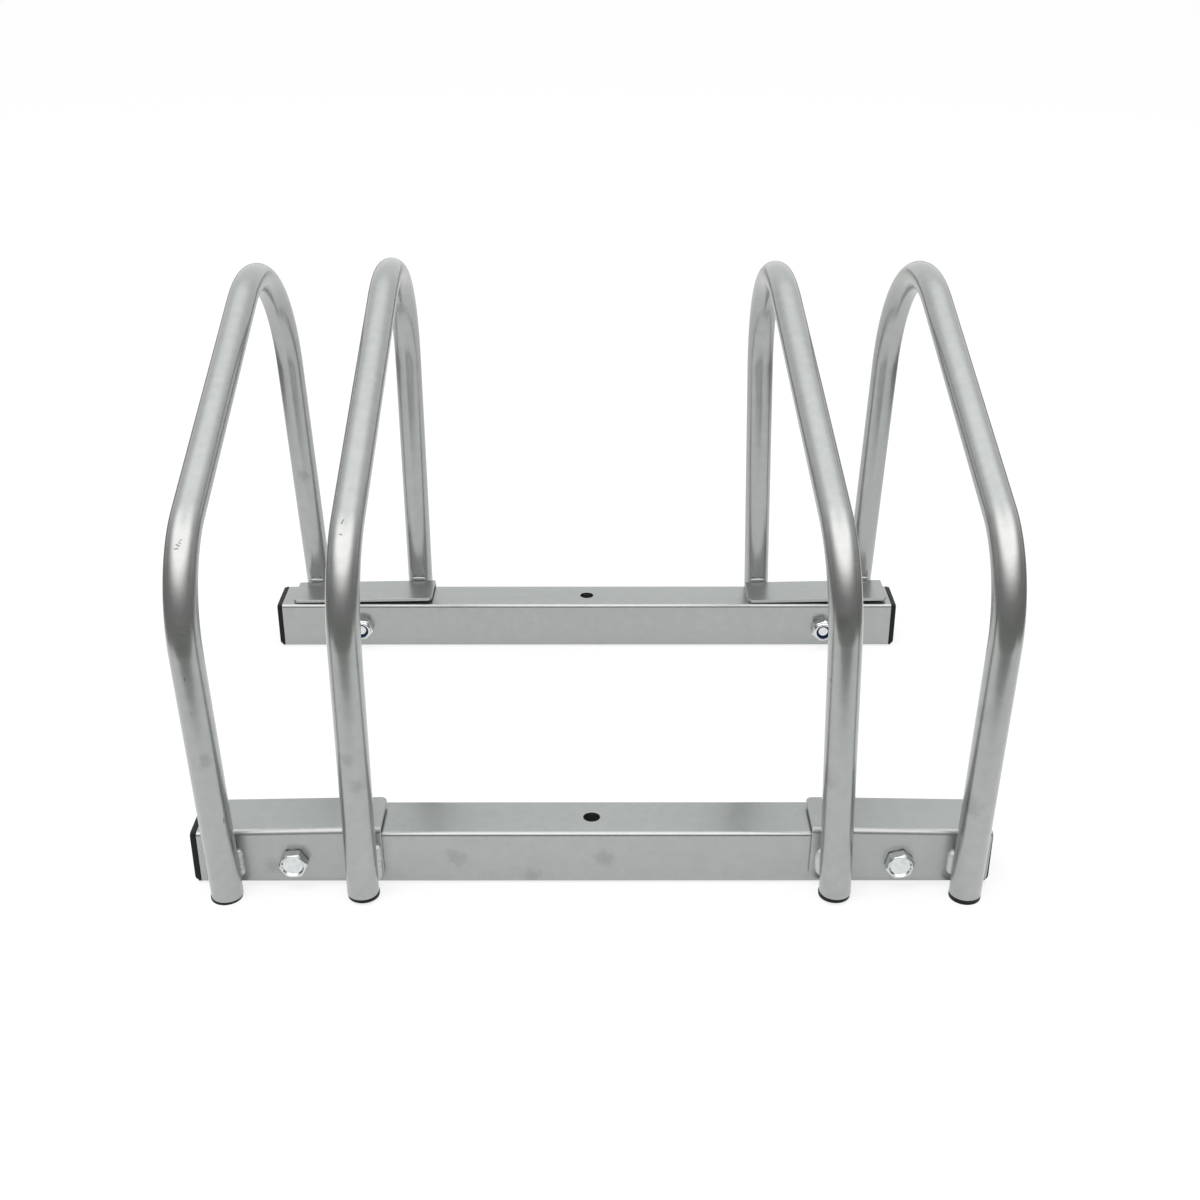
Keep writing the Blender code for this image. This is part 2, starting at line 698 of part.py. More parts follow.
def make_side_beads(hoop, bar):
    """Two fillet beads up the corners between the leg's flanks and the bracket's face."""
    axis = on_leg(hoop, bar, BAR_LEVEL)
    face = OUTER_FACE[bar] + AWAY[bar] * BRACKET_REACH
    reach = math.sqrt((TUBE_RADIUS + CLEARANCE) ** 2 - (abs(axis.y - face) - BEAD_OPENING) ** 2)
    blank = capsule("side_bead", BEAD_RADIUS, BEAD_LENGTHS[hoop])
    beads = []
    for flank in SIDES:
        bead = add_part(f"{hoop}_{bar}_weld_{flank}", blank.copy(), weld_metal)
        middle = (axis.x + OUTWARD[flank] * reach, face + AWAY[bar] * BEAD_OFF_FACE, axis.z)
        beads.append(place(bead, middle, (0, math.atan(leg_lean(hoop, bar).x), 0)))
    return beads


def make_top_bead(hoop, bar):
    """A bead across the bracket's top where the leg rises behind it."""
    joint = on_leg(hoop, bar, bracket_top(hoop, bar))
    middle = joint + Vector((0, -TUBE_RADIUS - TOP_BEAD_FORWARD, TOP_BEAD_UP))
    blank = capsule("top_bead", TOP_BEAD_RADIUS, TOP_BEAD_LENGTH)
    return place(add_part(f"{hoop}_{bar}_weld_top", blank, weld_metal), middle, (0, QUARTER, 0))


def make_welds(side, bar):
    """Every bead is cut back to leave the gap to its leg and its bracket."""
    sheet = grown_bracket(side, bar)
    for hoop in (f"{side}_outer", f"{side}_inner"):
        leg = grown_leg(hoop, bar)
        beads = make_side_beads(hoop, bar)
        if bar == "rear":
            beads.append(make_top_bead(hoop, bar))
        for bead in beads:
            boolean(bead, leg, "DIFFERENCE")
            boolean(bead, sheet, "DIFFERENCE")


clear_scene()
parts = new_collection("floor_bike_stand")
helpers = new_collection("cutters")
powder_coat = new_material("silver_powder_coat", (0.36, 0.38, 0.38), 0.42, 0.75)
black_plastic = new_material("black_plastic", (0.018, 0.018, 0.02), 0.5, 0.0)
zinc = new_material("bright_zinc", (0.72, 0.74, 0.76), 0.22, 1.0)
blue_nylon = new_material("blue_nylon", (0.01, 0.035, 0.16), 0.4, 0.0)
weld_metal = new_material("coated_weld", (0.42, 0.44, 0.44), 0.45, 0.75)

origin = bpy.data.objects.new("stand_origin", None)
parts.objects.link(origin)
origin.location = (0, -stand_middle(), 0)

for bar_name in BARS:
    make_crossbar(bar_name)
make_end_caps()
for hoop_name in HOOPS:
    make_hoop(hoop_name)
make_foot_plugs()
for side_name in SIDES:
    for bar_name in BARS:
        make_bracket(side_name, bar_name)
        make_welds(side_name, bar_name)
make_fasteners()
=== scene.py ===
"""Floor stand for two bicycles, with its finish, on a white studio floor.

Lengths are in metres and angles in degrees. X runs to the right along the crossbars, Y to the
back and Z up. The stand's middle on the floor is the origin.
"""
import math

import bmesh
import bpy
from mathutils import Matrix, Vector


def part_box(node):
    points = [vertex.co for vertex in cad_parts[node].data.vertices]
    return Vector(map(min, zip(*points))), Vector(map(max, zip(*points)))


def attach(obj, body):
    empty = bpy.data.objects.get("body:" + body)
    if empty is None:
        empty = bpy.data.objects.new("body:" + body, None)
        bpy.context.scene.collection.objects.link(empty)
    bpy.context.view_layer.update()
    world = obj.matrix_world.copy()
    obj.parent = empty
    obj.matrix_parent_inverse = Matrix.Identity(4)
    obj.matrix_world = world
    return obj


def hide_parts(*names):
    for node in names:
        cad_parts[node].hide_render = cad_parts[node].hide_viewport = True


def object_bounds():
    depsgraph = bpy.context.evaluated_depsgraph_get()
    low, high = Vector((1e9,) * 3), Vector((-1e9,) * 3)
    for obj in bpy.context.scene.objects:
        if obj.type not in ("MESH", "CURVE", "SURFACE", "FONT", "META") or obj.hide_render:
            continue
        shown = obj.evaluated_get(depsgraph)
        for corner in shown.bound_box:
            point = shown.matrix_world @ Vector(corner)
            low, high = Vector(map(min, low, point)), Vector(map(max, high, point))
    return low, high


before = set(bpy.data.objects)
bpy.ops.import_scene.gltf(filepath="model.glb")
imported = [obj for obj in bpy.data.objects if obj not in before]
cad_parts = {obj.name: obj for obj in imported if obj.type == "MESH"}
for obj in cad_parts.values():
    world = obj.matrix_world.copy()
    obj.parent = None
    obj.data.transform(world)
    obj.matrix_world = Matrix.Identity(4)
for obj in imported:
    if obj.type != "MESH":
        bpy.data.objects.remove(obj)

CAD_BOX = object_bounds()

# Camera. It looks at the stand from the front and from above, as in the photograph.
CAMERA_PLACE = (0.00677, -0.7969, 0.4800)
CAMERA_LENS = 46.57
CAMERA_DIP = 26.02
CAMERA_ROLL = 0.03

camera_data = bpy.data.cameras.new("camera")
camera_data.lens = CAMERA_LENS
camera = bpy.data.objects.new("camera", camera_data)
camera.location = CAMERA_PLACE
camera.rotation_euler = (math.radians(90 - CAMERA_DIP), math.radians(CAMERA_ROLL), 0)
bpy.context.scene.collection.objects.link(camera)
bpy.context.scene.camera = camera
bpy.context.scene.view_settings.view_transform = "Standard"

# Floor: a white paper sheet under the stand. In reflections it is paler in front than at the back and to its
# sides, which is painted shade. It ends a little way in front of the stand and to its sides, and the floor
# beyond is painted dark, a painted shade of the unlit room, which shows only in reflections.
FLOOR_REACH = 6.0
FLOOR_DROP = 0.0002
FLOOR_WHITE = (0.86, 0.86, 0.85, 1)
SHEET_WHITE = (1.12, 1.12, 1.11)
# Painted shade in the sheet's reflections: its share at the back and to the sides, and where each begins and
# ends.
SHEET_BACK_PAINTED_SHADE = 0.74
SHEET_BACK_PAINTED_SHADE_FADE = (0.1, 0.4)
SHEET_ASIDE_PAINTED_SHADE = 0.9
SHEET_ASIDE_PAINTED_SHADE_FADE = (0.2, 0.5)
# Painted shade: the floor beyond the sheet, dark only in reflections, in place of the unlit room.
STUDIO_PAINTED_SHADE = (0.213, 0.211, 0.19, 1)
SHEET_FRONT = -0.355
SHEET_SIDE = 0.53
SHEET_FADE = 0.02
SHADOW_SHARE = 0.3
MIRROR_SHARE = 0.6
CAMERA_WHITE = (1.12, 1.12, 1.12, 1)


def node(tree, kind, inputs=None, **settings):
    """A new node. Each input is a value or another node's output socket."""
    made = tree.nodes.new(kind)
    for key, value in settings.items():
        setattr(made, key, value)
    for key, value in (inputs or {}).items():
        if isinstance(value, bpy.types.NodeSocket):
            tree.links.new(value, made.inputs[key])
        else:
            made.inputs[key].default_value = value
    return made


def calc(tree, operation, *values):
    """The result of a Math node."""
    return node(tree, "ShaderNodeMath", dict(enumerate(values)), operation=operation).outputs[0]


def vector_calc(tree, operation, *values, result="Vector"):
    """The result of a Vector Math node."""
    made = node(tree, "ShaderNodeVectorMath", dict(enumerate(values)), operation=operation)
    return made.outputs[result]


def scaled(tree, vector, factor):
    made = node(tree, "ShaderNodeVectorMath", {0: vector, "Scale": factor}, operation="SCALE")
    return made.outputs["Vector"]


def fade(tree, value, start, end, low=0.0, high=1.0):
    """A smooth change from low to high while a value goes from start to end."""
    settings = {"Value": value, "From Min": start, "From Max": end, "To Min": low, "To Max": high}
    return node(tree, "ShaderNodeMapRange", settings, interpolation_type="SMOOTHSTEP").outputs["Result"]


def blended(tree, share, first, second):
    """A colour between two others."""
    return node(tree, "ShaderNodeMix", {0: share, 6: first, 7: second}, data_type="RGBA").outputs[2]


def mixed(tree, share, first, second):
    """A shader between two others."""
    return node(tree, "ShaderNodeMixShader", {0: share, 1: first, 2: second}).outputs[0]


def views(tree):
    """Whether a point is seen by the camera, and whether it is seen in a reflection."""
    rays = node(tree, "ShaderNodeLightPath").outputs
    glossy = calc(tree, "MAXIMUM", rays["Is Glossy Ray"], rays["Is Transmission Ray"])
    return rays["Is Camera Ray"], glossy


def new_material(name):
    """An empty material, its node tree, and the place on its object that its patterns follow."""
    material = bpy.data.materials.new(name)
    material.use_nodes = True
    tree = material.node_tree
    tree.nodes.clear()
    return material, tree, node(tree, "ShaderNodeTexCoord").outputs["Object"]


def new_object(name, data):
    obj = bpy.data.objects.new(name, data)
    bpy.context.scene.collection.objects.link(obj)
    return obj


def mesh_of(name, build):
    """A mesh that a function fills in bmesh."""
    mesh = bpy.data.meshes.new(name)
    bm = bmesh.new()
    build(bm)
    bm.to_mesh(mesh)
    bm.free()
    return mesh


def paper():
    """White, with the stand's shadow. In reflections the sheet has painted shade towards its back and sides,
    and the floor beyond it is painted dark as painted shade of the unlit room.
    """
    material, tree, place = new_material("white_paper")
    spot = node(tree, "ShaderNodeSeparateXYZ", {0: place}).outputs
    aside = calc(tree, "ABSOLUTE", spot["X"])
    in_depth = fade(tree, spot["Y"], SHEET_FRONT - SHEET_FADE, SHEET_FRONT)
    on_sheet = calc(tree, "MULTIPLY", in_depth, fade(tree, aside, SHEET_SIDE + SHEET_FADE, SHEET_SIDE))
    # Painted shade: in reflections the sheet darkens towards the back and the sides.
    painted_shade_to_back = fade(tree, spot["Y"], *SHEET_BACK_PAINTED_SHADE_FADE, 1.0, SHEET_BACK_PAINTED_SHADE)
    painted_shade_to_side = fade(tree, aside, *SHEET_ASIDE_PAINTED_SHADE_FADE, 1.0, SHEET_ASIDE_PAINTED_SHADE)
    sheet = scaled(tree, SHEET_WHITE, calc(tree, "MULTIPLY", painted_shade_to_back, painted_shade_to_side))
    seen, glossy = views(tree)
    # Reflections see the sheet, or beyond it the painted shade of the unlit room.
    shown = blended(tree, glossy, CAMERA_WHITE, blended(tree, on_sheet, STUDIO_PAINTED_SHADE, sheet))
    glow = node(tree, "ShaderNodeEmission", {"Color": shown})
    # For reflections the lit floor off the sheet is painted dark too, as painted shade.
    pale = calc(tree, "MAXIMUM", on_sheet, calc(tree, "SUBTRACT", 1.0, glossy))
    lit = node(tree, "ShaderNodeBsdfDiffuse", {"Color": blended(tree, pale, STUDIO_PAINTED_SHADE, FLOOR_WHITE)})
    share = calc(tree, "MULTIPLY_ADD", glossy, MIRROR_SHARE, calc(tree, "MULTIPLY", seen, 1 - SHADOW_SHARE))
    node(tree, "ShaderNodeOutputMaterial", {"Surface": mixed(tree, share, lit.outputs[0], glow.outputs[0])})
    material.cycles.emission_sampling = "NONE"
    return material


def floor_mesh(bm):
    bmesh.ops.create_grid(bm, x_segments=1, y_segments=1, size=FLOOR_REACH)
    bmesh.ops.translate(bm, vec=(0, 0, -FLOOR_DROP), verts=bm.verts)


floor = new_object("floor", mesh_of("floor", floor_mesh))
floor.data.materials.append(paper())

# Light: a white room, which the metal reflects. In front and low down it is dark, a softbox
# hangs over the front, and the ceiling is paler towards the back. Heights are sines of elevation.
ROOM_PEAK = 2.6
ROOM_FRONT = ((0.0, 0.095), (0.28, 0.10), (0.49, 0.24), (0.59, 0.44), (0.69, 0.70), (0.80, 0.93),
              (1.0, 0.88))
ROOM_BACK = ((0.0, 0.385), (0.64, 0.385), (0.73, 0.46), (0.80, 0.54), (0.87, 0.615), (1.0, 0.67))
FRONT_EDGE = (-1.1, 0.0)
AMBIENT = 0.78
WHITE = (1, 1, 1, 1)
COOL = (0.985, 1.0, 0.995, 1)
WARM = (1.04, 0.998, 0.985, 1)
# Place, size and power of each lamp.
LAMPS = {"key_lamp": ((-0.5, -0.7, 1.7), (1.2, 0.9), 13.0), "fill_lamp": ((0.9, 0.6, 1.5), (1.0, 1.0), 5.0)}


def brightness(tree, height, steps):
    """The room's brightness at a height, as a share of its peak."""
    ramp = node(tree, "ShaderNodeValToRGB", {"Fac": height})
    elements = ramp.color_ramp.elements
    while len(elements) < len(steps):
        elements.new(0.5)
    for element, (position, share) in zip(elements, steps):
        element.position = position
        element.color = (share, share, share, 1)
    return ramp.outputs["Color"]


def glowing(tree, colour, strength):
    return node(tree, "ShaderNodeBackground", {"Color": colour, "Strength": strength}).outputs[0]


def room():
    world = bpy.data.worlds.new("studio_room")
    world.use_nodes = True
    world.cycles.sampling_method = "NONE"
    tree = world.node_tree
    tree.nodes.clear()
    direction = node(tree, "ShaderNodeTexCoord").outputs["Generated"]
    height = node(tree, "ShaderNodeSeparateXYZ", {0: direction}).outputs["Z"]
    level = vector_calc(tree, "NORMALIZE", vector_calc(tree, "MULTIPLY", direction, (1, 1, 0)))
    forward = vector_calc(tree, "DOT_PRODUCT", level, (0, -1, 0), result="Value")
    in_front = fade(tree, forward, *FRONT_EDGE)
    back, front = brightness(tree, height, ROOM_BACK), brightness(tree, height, ROOM_FRONT)
    tint = blended(tree, in_front, COOL, WARM)
    colour = vector_calc(tree, "MULTIPLY", blended(tree, in_front, back, front), tint)
    seen, glossy = views(tree)
    lit = mixed(tree, glossy, glowing(tree, WHITE, AMBIENT), glowing(tree, colour, ROOM_PEAK))
    node(tree, "ShaderNodeOutputWorld", {"Surface": mixed(tree, seen, lit, glowing(tree, WHITE, 1.0))})
    return world


def lamp(name, place, size, power):
    """A rectangular lamp aimed at the middle of the stand. The metal reflects only the room."""
    data = bpy.data.lights.new(name, "AREA")
    data.shape = "RECTANGLE"
    data.size, data.size_y = size
    data.energy = power
    obj = new_object(name, data)
    obj.location = place
    aim = sum(CAD_BOX, Vector()) / 2 - Vector(place)
    obj.rotation_euler = aim.to_track_quat("-Z", "Y").to_euler()
    obj.visible_glossy = False


bpy.context.scene.world = room()
for lamp_name, lamp_settings in LAMPS.items():
    lamp(lamp_name, *lamp_settings)

# Crossbars: two square steel tubes, drilled for the bolts and anchors and sprayed with silver
# powder, which is baked on. The coat has a fine flake, a faint orange peel and a few rub marks.
SIDES = ("left", "right")
BARS = ("front", "rear")
OUTWARD = {"left": -1, "right": 1}
AWAY = {"front": -1, "rear": 1}
QUARTER = math.radians(90)
FULL_TURN = 4 * QUARTER
BAR_CORNER = 0.0022
BAR_WALL = 0.0012
BAR_CORNER_STEPS = 8
ANCHOR_HOLE = 0.0085
BOLT_HOLE = 0.009
DRILL_STEPS = 48
EDGE_ROUND = 0.00025
EDGE_STEPS = 2
EDGE_ANGLE = 50
SMOOTH_ANGLE = 40
JOINED = 0.00001
COAT_SHADE = (0.378, 0.396, 0.391, 1)
COAT = {"Gloss": 0.25, "Clouds": 0.05, "Mottle": 0.14, "Flake": 0.16, "Peel": 0.000018, "Grain": 0.0000012}
COAT_METALLIC = 0.9
COAT_CLEAR = 0.35
COAT_CLEAR_ROUGHNESS = 0.08
CLOUD_NOISE = (24, 3)
MOTTLE_NOISE = (170, 3)
FLAKE_NOISE = (3300, 1)
PEEL_NOISE = (520, 2)
CLOUD_ROUGHNESS = 0.08
FLAKE_ROUGHNESS = 0.06
RAGGED_DETAIL = 2
RAGGEDNESS = 1.2
SURFACE = [("Color", "Color"), ("Roughness", "Float"), ("Height", "Float")]
RUB_SHADE = (0.29, 0.30, 0.30, 1)
RUB_STRENGTH = 0.7
RUB_EDGE = {"Fineness": 260, "Softness": 0.8}
BAR_RUBS = (((-0.0665, -0.1447, 0.016), 0.0075), ((-0.0285, -0.1447, 0.0048), 0.0065),
            ((0.0093, -0.1447, 0.0151), 0.007))


def new_group(name, kind, inputs, outputs):
    """A node group and what its inputs give. A socket is a name, a kind and, for an input, a value."""
    tree = bpy.data.node_groups.new(name, kind)
    for label, socket, value in inputs:
        made = tree.interface.new_socket(label, in_out="INPUT", socket_type="NodeSocket" + socket)
        if value is not None:
            made.default_value = value
    for label, socket in outputs:
        tree.interface.new_socket(label, in_out="OUTPUT", socket_type="NodeSocket" + socket)
    return tree, node(tree, "NodeGroupInput").outputs


def floats(values):
    """Input sockets for a table of numbers."""
    return [(label, "Float", value) for label, value in values.items()]


def noise(tree, place, scale, detail):
    return node(tree, "ShaderNodeTexNoise", {"Vector": place, "Scale": scale, "Detail": detail}).outputs[0]


def uneven(tree, place, scale, detail):
    """Noise that swings about nothing."""
    return calc(tree, "SUBTRACT", noise(tree, place, scale, detail), 0.5)


def coat_group():
    """Sprayed metallic powder: clouds and flake in the colour, and an orange peel with a fine grain."""
    tree, given = new_group("sprayed_coat", "ShaderNodeTree", [
        ("Vector", "Vector", None), ("Shade", "Color", COAT_SHADE), *floats(COAT)], SURFACE)
    place = given["Vector"]
    clouds = uneven(tree, place, *CLOUD_NOISE)
    flake = uneven(tree, place, *FLAKE_NOISE)
    tone = calc(tree, "MULTIPLY_ADD", clouds, given["Clouds"], 1.0)
    tone = calc(tree, "MULTIPLY_ADD", uneven(tree, place, *MOTTLE_NOISE), given["Mottle"], tone)
    tone = calc(tree, "MULTIPLY_ADD", flake, given["Flake"], tone)
    rough = calc(tree, "MULTIPLY_ADD", clouds, CLOUD_ROUGHNESS, given["Gloss"])
    height = calc(tree, "MULTIPLY", noise(tree, place, *PEEL_NOISE), given["Peel"])
    node(tree, "NodeGroupOutput", {
        "Color": scaled(tree, given["Shade"], tone),
        "Roughness": calc(tree, "MULTIPLY_ADD", flake, FLAKE_ROUGHNESS, rough),
        "Height": calc(tree, "MULTIPLY_ADD", flake, given["Grain"], height)})
    return tree


def mark_group():
    """A stroke or spot, 1 along its middle, with a ragged edge. A spot starts and ends at one place."""
    places = [(label, "Vector", None) for label in ("Vector", "Start", "End")]
    edge = floats({"Reach": None, "Raggedness": RAGGEDNESS, "Fineness": None, "Softness": None})
    tree, given = new_group("mark", "ShaderNodeTree", places + edge, [("Mask", "Float")])
    run = vector_calc(tree, "SUBTRACT", given["End"], given["Start"])
    offset = vector_calc(tree, "SUBTRACT", given["Vector"], given["Start"])
    travelled = vector_calc(tree, "DOT_PRODUCT", offset, run, result="Value")
    length = vector_calc(tree, "DOT_PRODUCT", run, run, result="Value")
    along = node(tree, "ShaderNodeClamp", {"Value": calc(tree, "DIVIDE", travelled, length)}).outputs[0]
    away = vector_calc(tree, "DISTANCE", offset, scaled(tree, run, along), result="Value")
    far = calc(tree, "DIVIDE", away, given["Reach"])
    ragged = uneven(tree, given["Vector"], given["Fineness"], RAGGED_DETAIL)
    out = calc(tree, "MULTIPLY_ADD", ragged, given["Raggedness"], far)
    inner = calc(tree, "SUBTRACT", 1.0, given["Softness"])
    node(tree, "NodeGroupOutput", {"Mask": fade(tree, out, inner, 1.0, 1.0, 0.0)})
    return tree


coat_surface = coat_group()
mark = mark_group()


def marks(tree, place, spots, edge):
    """All of the marks in a list as one mask. Each is a place, or a start and an end, and a reach."""
    mask = 0.0
    for start, *end, reach in spots:
        one = {"Vector": place, "Start": start, "End": end[0] if end else start, "Reach": reach, **edge}
        mask = calc(tree, "MAXIMUM", mask, grouped(tree, mark, one)["Mask"])
    return mask


def grouped(tree, group, inputs):
    """The outputs of a placed node group."""
    return node(tree, "ShaderNodeGroup", inputs, node_tree=group).outputs


def surfaced(tree, height, inputs):
    """Ends a material with a Principled shader, over a relief of this height in metres."""
    relief = node(tree, "ShaderNodeBump", {"Height": height, "Distance": 1.0, "Strength": 1.0})
    shader = node(tree, "ShaderNodeBsdfPrincipled", {**inputs, "Normal": relief.outputs[0]})
    node(tree, "ShaderNodeOutputMaterial", {"Surface": shader.outputs[0]})


def silver_coat(name, rubs=(), chips=(), metallic=COAT_METALLIC, clear=COAT_CLEAR, **values):
    """Silver powder coat with rub marks, and with chips down to the dark steel."""
    material, tree, place = new_material(name)
    coat = grouped(tree, coat_surface, {"Vector": place, **values})
    colour, height = coat["Color"], coat["Height"]
    if rubs:
        rubbed = calc(tree, "MULTIPLY", marks(tree, place, rubs, RUB_EDGE), RUB_STRENGTH)
        colour = blended(tree, rubbed, colour, RUB_SHADE)
    if chips:
        chipped = marks(tree, place, chips, CHIP_EDGE)
        colour = blended(tree, calc(tree, "MULTIPLY", chipped, CHIP_STRENGTH), colour, CHIP_SHADE)
        height = calc(tree, "MULTIPLY_ADD", chipped, -CHIP_DEPTH, height)
    surfaced(tree, height, {
        "Base Color": colour, "Roughness": coat["Roughness"], "Metallic": metallic,
        "Coat Weight": clear, "Coat Roughness": COAT_CLEAR_ROUGHNESS})
    return material


def rounded_square(side, corner):
    """Outline of a square with rounded corners."""
    inset = side / 2 - corner
    points = []
    for quarter, (x, y) in enumerate(((1, 1), (-1, 1), (-1, -1), (1, -1))):
        for i in range(BAR_CORNER_STEPS + 1):
            angle = QUARTER * (quarter + i / BAR_CORNER_STEPS)
            points.append((x * inset + corner * math.cos(angle), y * inset + corner * math.sin(angle)))
    return points


def stacked(bm, rings, ends):
    """Joins rings of points in order. The ends stay open, are filled, or are joined in a loop."""
    made = [[bm.verts.new(point) for point in ring] for ring in rings]
    pairs = list(zip(made, made[1:]))
    if ends == "loop":
        pairs.append((made[-1], made[0]))
    for ring, after in pairs:
        for i, vertex in enumerate(ring):
            j = (i + 1) % len(ring)
            bm.faces.new((vertex, ring[j], after[j], after[i]))
    if ends == "filled":
        bm.faces.new(made[0])
        bm.faces.new(made[-1])
    bmesh.ops.recalc_face_normals(bm, faces=bm.faces)


def solid(name, rings, ends="filled"):
    return new_object(name, mesh_of(name, lambda bm: stacked(bm, rings, ends)))


def centre(part_name):
    """Middle of a CAD node's box."""
    low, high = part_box(part_name)
    return (low + high) / 2


def put(obj, place, turn):
    """Turns an object's mesh and moves it into place."""
    obj.data.transform(Matrix.Translation(place) @ turn)
    return obj


def plain(obj):
    """The object with its modifiers applied for good."""
    bpy.context.view_layer.update()
    graph = bpy.context.evaluated_depsgraph_get()
    mesh = bpy.data.meshes.new_from_object(obj.evaluated_get(graph))
    mesh.name = obj.name
    obj.modifiers.clear()
    obj.data = mesh
    return obj


def shaded(obj, material, angle=SMOOTH_ANGLE, flat_faces=False):
    """Gives an object its material and smooth shading, which may keep its large faces flat."""
    obj.data.materials.clear()
    obj.data.materials.append(material)
    obj.data.shade_smooth()
    obj.data.set_sharp_from_angle(angle=math.radians(angle))
    if flat_faces:
        obj.modifiers.new("flat_faces", "WEIGHTED_NORMAL").keep_sharp = True
        plain(obj)
    return obj


def join(obj, other, operation):
    """Adds another object to this one, cuts it away or keeps what they share."""
    step = obj.modifiers.new("joined", "BOOLEAN")
    step.object = other
    step.operation = operation
    plain(obj)
    bpy.data.objects.remove(other)
    return obj


def drill(obj, diameter, middle, axis, through):
    """Cuts a round hole through an object."""
    def bit(bm):
        bmesh.ops.create_cone(bm, cap_ends=True, segments=DRILL_STEPS, radius1=diameter / 2,
                              radius2=diameter / 2, depth=through)
        turn = Vector(axis).to_track_quat("Z", "Y").to_matrix()
        bmesh.ops.transform(bm, matrix=Matrix.Translation(middle) @ turn.to_4x4(), verts=bm.verts)
    join(obj, new_object("drill", mesh_of("drill", bit)), "DIFFERENCE")


def soften(obj, width=EDGE_ROUND, steps=EDGE_STEPS, angle=EDGE_ANGLE):
    """Rounds an object's sharp edges and keeps its flat faces flat."""
    obj.data.shade_smooth()
    bevel = obj.modifiers.new("edges", "BEVEL")
    bevel.width = width
    bevel.segments = steps
    bevel.limit_method = "ANGLE"
    bevel.angle_limit = math.radians(angle)
    bevel.harden_normals = True
    return plain(obj)


def thickened(obj, thickness, offset=-1, even=True):
    """Gives an open skin a wall, which lies inside it where the offset is -1."""
    wall = obj.modifiers.new("wall", "SOLIDIFY")
    wall.thickness = thickness
    wall.offset = offset
    wall.use_even_offset = even
    return plain(obj)


def crossbar(bar):
    """The tube's outer skin, thickened inwards and drilled."""
    low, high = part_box(f"{bar}_crossbar")
    middle = (low + high) / 2
    outline = rounded_square(high.z - low.z, BAR_CORNER)
    rings = [[(x, middle.y + y, middle.z + z) for y, z in outline] for x in (low.x, high.x)]
    obj = thickened(solid(f"crossbar_{bar}", rings, "open"), BAR_WALL)
    through = 2 * (high.z - low.z)
    for side in SIDES:
        bolt = centre(f"{side}_{bar}_bolt")
        drill(obj, BOLT_HOLE, (bolt.x, middle.y, bolt.z), (0, 1, 0), through)
    drill(obj, ANCHOR_HOLE, middle, (0, 0, 1), through)
    return soften(obj)


bar_coat = silver_coat("silver_coat_on_bars", rubs=BAR_RUBS)
for bar_name in BARS:
    piece = crossbar(bar_name)
    piece.data.materials.append(bar_coat)
    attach(piece, "root")
    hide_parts(f"{bar_name}_crossbar")

# End caps: black moulded plastic. The flange covers the end of the tube, and a hollow stem with
# ribs holds it in the bore. It is pushed in by hand.
GAP = 0.0003
CAP_FLANGE = 0.0029
CAP_LIP = 0.0012
CAP_STEP = 0.00025
CAP_EDGE = 0.0007
CAP_EDGE_STEPS = 6
CAP_CHAMFER = 0.0016
CAP_STEM = 0.014
CAP_WALL = 0.0016
CAP_RIB = 0.0008
CAP_RIB_DEPTH = 0.0009
CAP_RIBS = 3
PATCH_DETAIL = 4
PATCH_STRENGTH = 0.5
GRAIN_DETAIL = 2
PLASTIC_SPECULAR = 0.2
PLASTIC_SHADE = (0.0065, 0.007, 0.008, 1)
PLASTIC_WORN = (0.018, 0.019, 0.02, 1)
PLASTIC = {"Gloss": 0.42, "Patch Scale": 210, "Patch Start": 0.56, "Patch End": 0.74,
           "Patch Roughness": 0.15, "Grain Scale": 2400, "Grain Depth": 0.000008}


def wear_group():
    """Patches of another colour and gloss, and a fine grain in the relief."""
    tree, given = new_group("worn_surface", "ShaderNodeTree", [
        ("Vector", "Vector", None), ("Shade", "Color", PLASTIC_SHADE), ("Worn Shade", "Color", PLASTIC_WORN),
        *floats(PLASTIC)], SURFACE)
    cloud = noise(tree, given["Vector"], given["Patch Scale"], PATCH_DETAIL)
    patches = fade(tree, cloud, given["Patch Start"], given["Patch End"])
    share = calc(tree, "MULTIPLY", patches, PATCH_STRENGTH)
    grain = noise(tree, given["Vector"], given["Grain Scale"], GRAIN_DETAIL)
    node(tree, "NodeGroupOutput", {
        "Color": blended(tree, share, given["Shade"], given["Worn Shade"]),
        "Roughness": calc(tree, "MULTIPLY_ADD", patches, given["Patch Roughness"], given["Gloss"]),
        "Height": calc(tree, "MULTIPLY", grain, given["Grain Depth"])})
    return tree


worn_surface = wear_group()


def worn(name, fixed, **values):
    """A material on the worn surface, with inputs of its shader that are the same all over it."""
    material, tree, place = new_material(name)
    worn_coat = grouped(tree, worn_surface, {"Vector": place, **values})
    surfaced(tree, worn_coat["Height"], {
        "Base Color": worn_coat["Color"], "Roughness": worn_coat["Roughness"], **fixed})
    return material


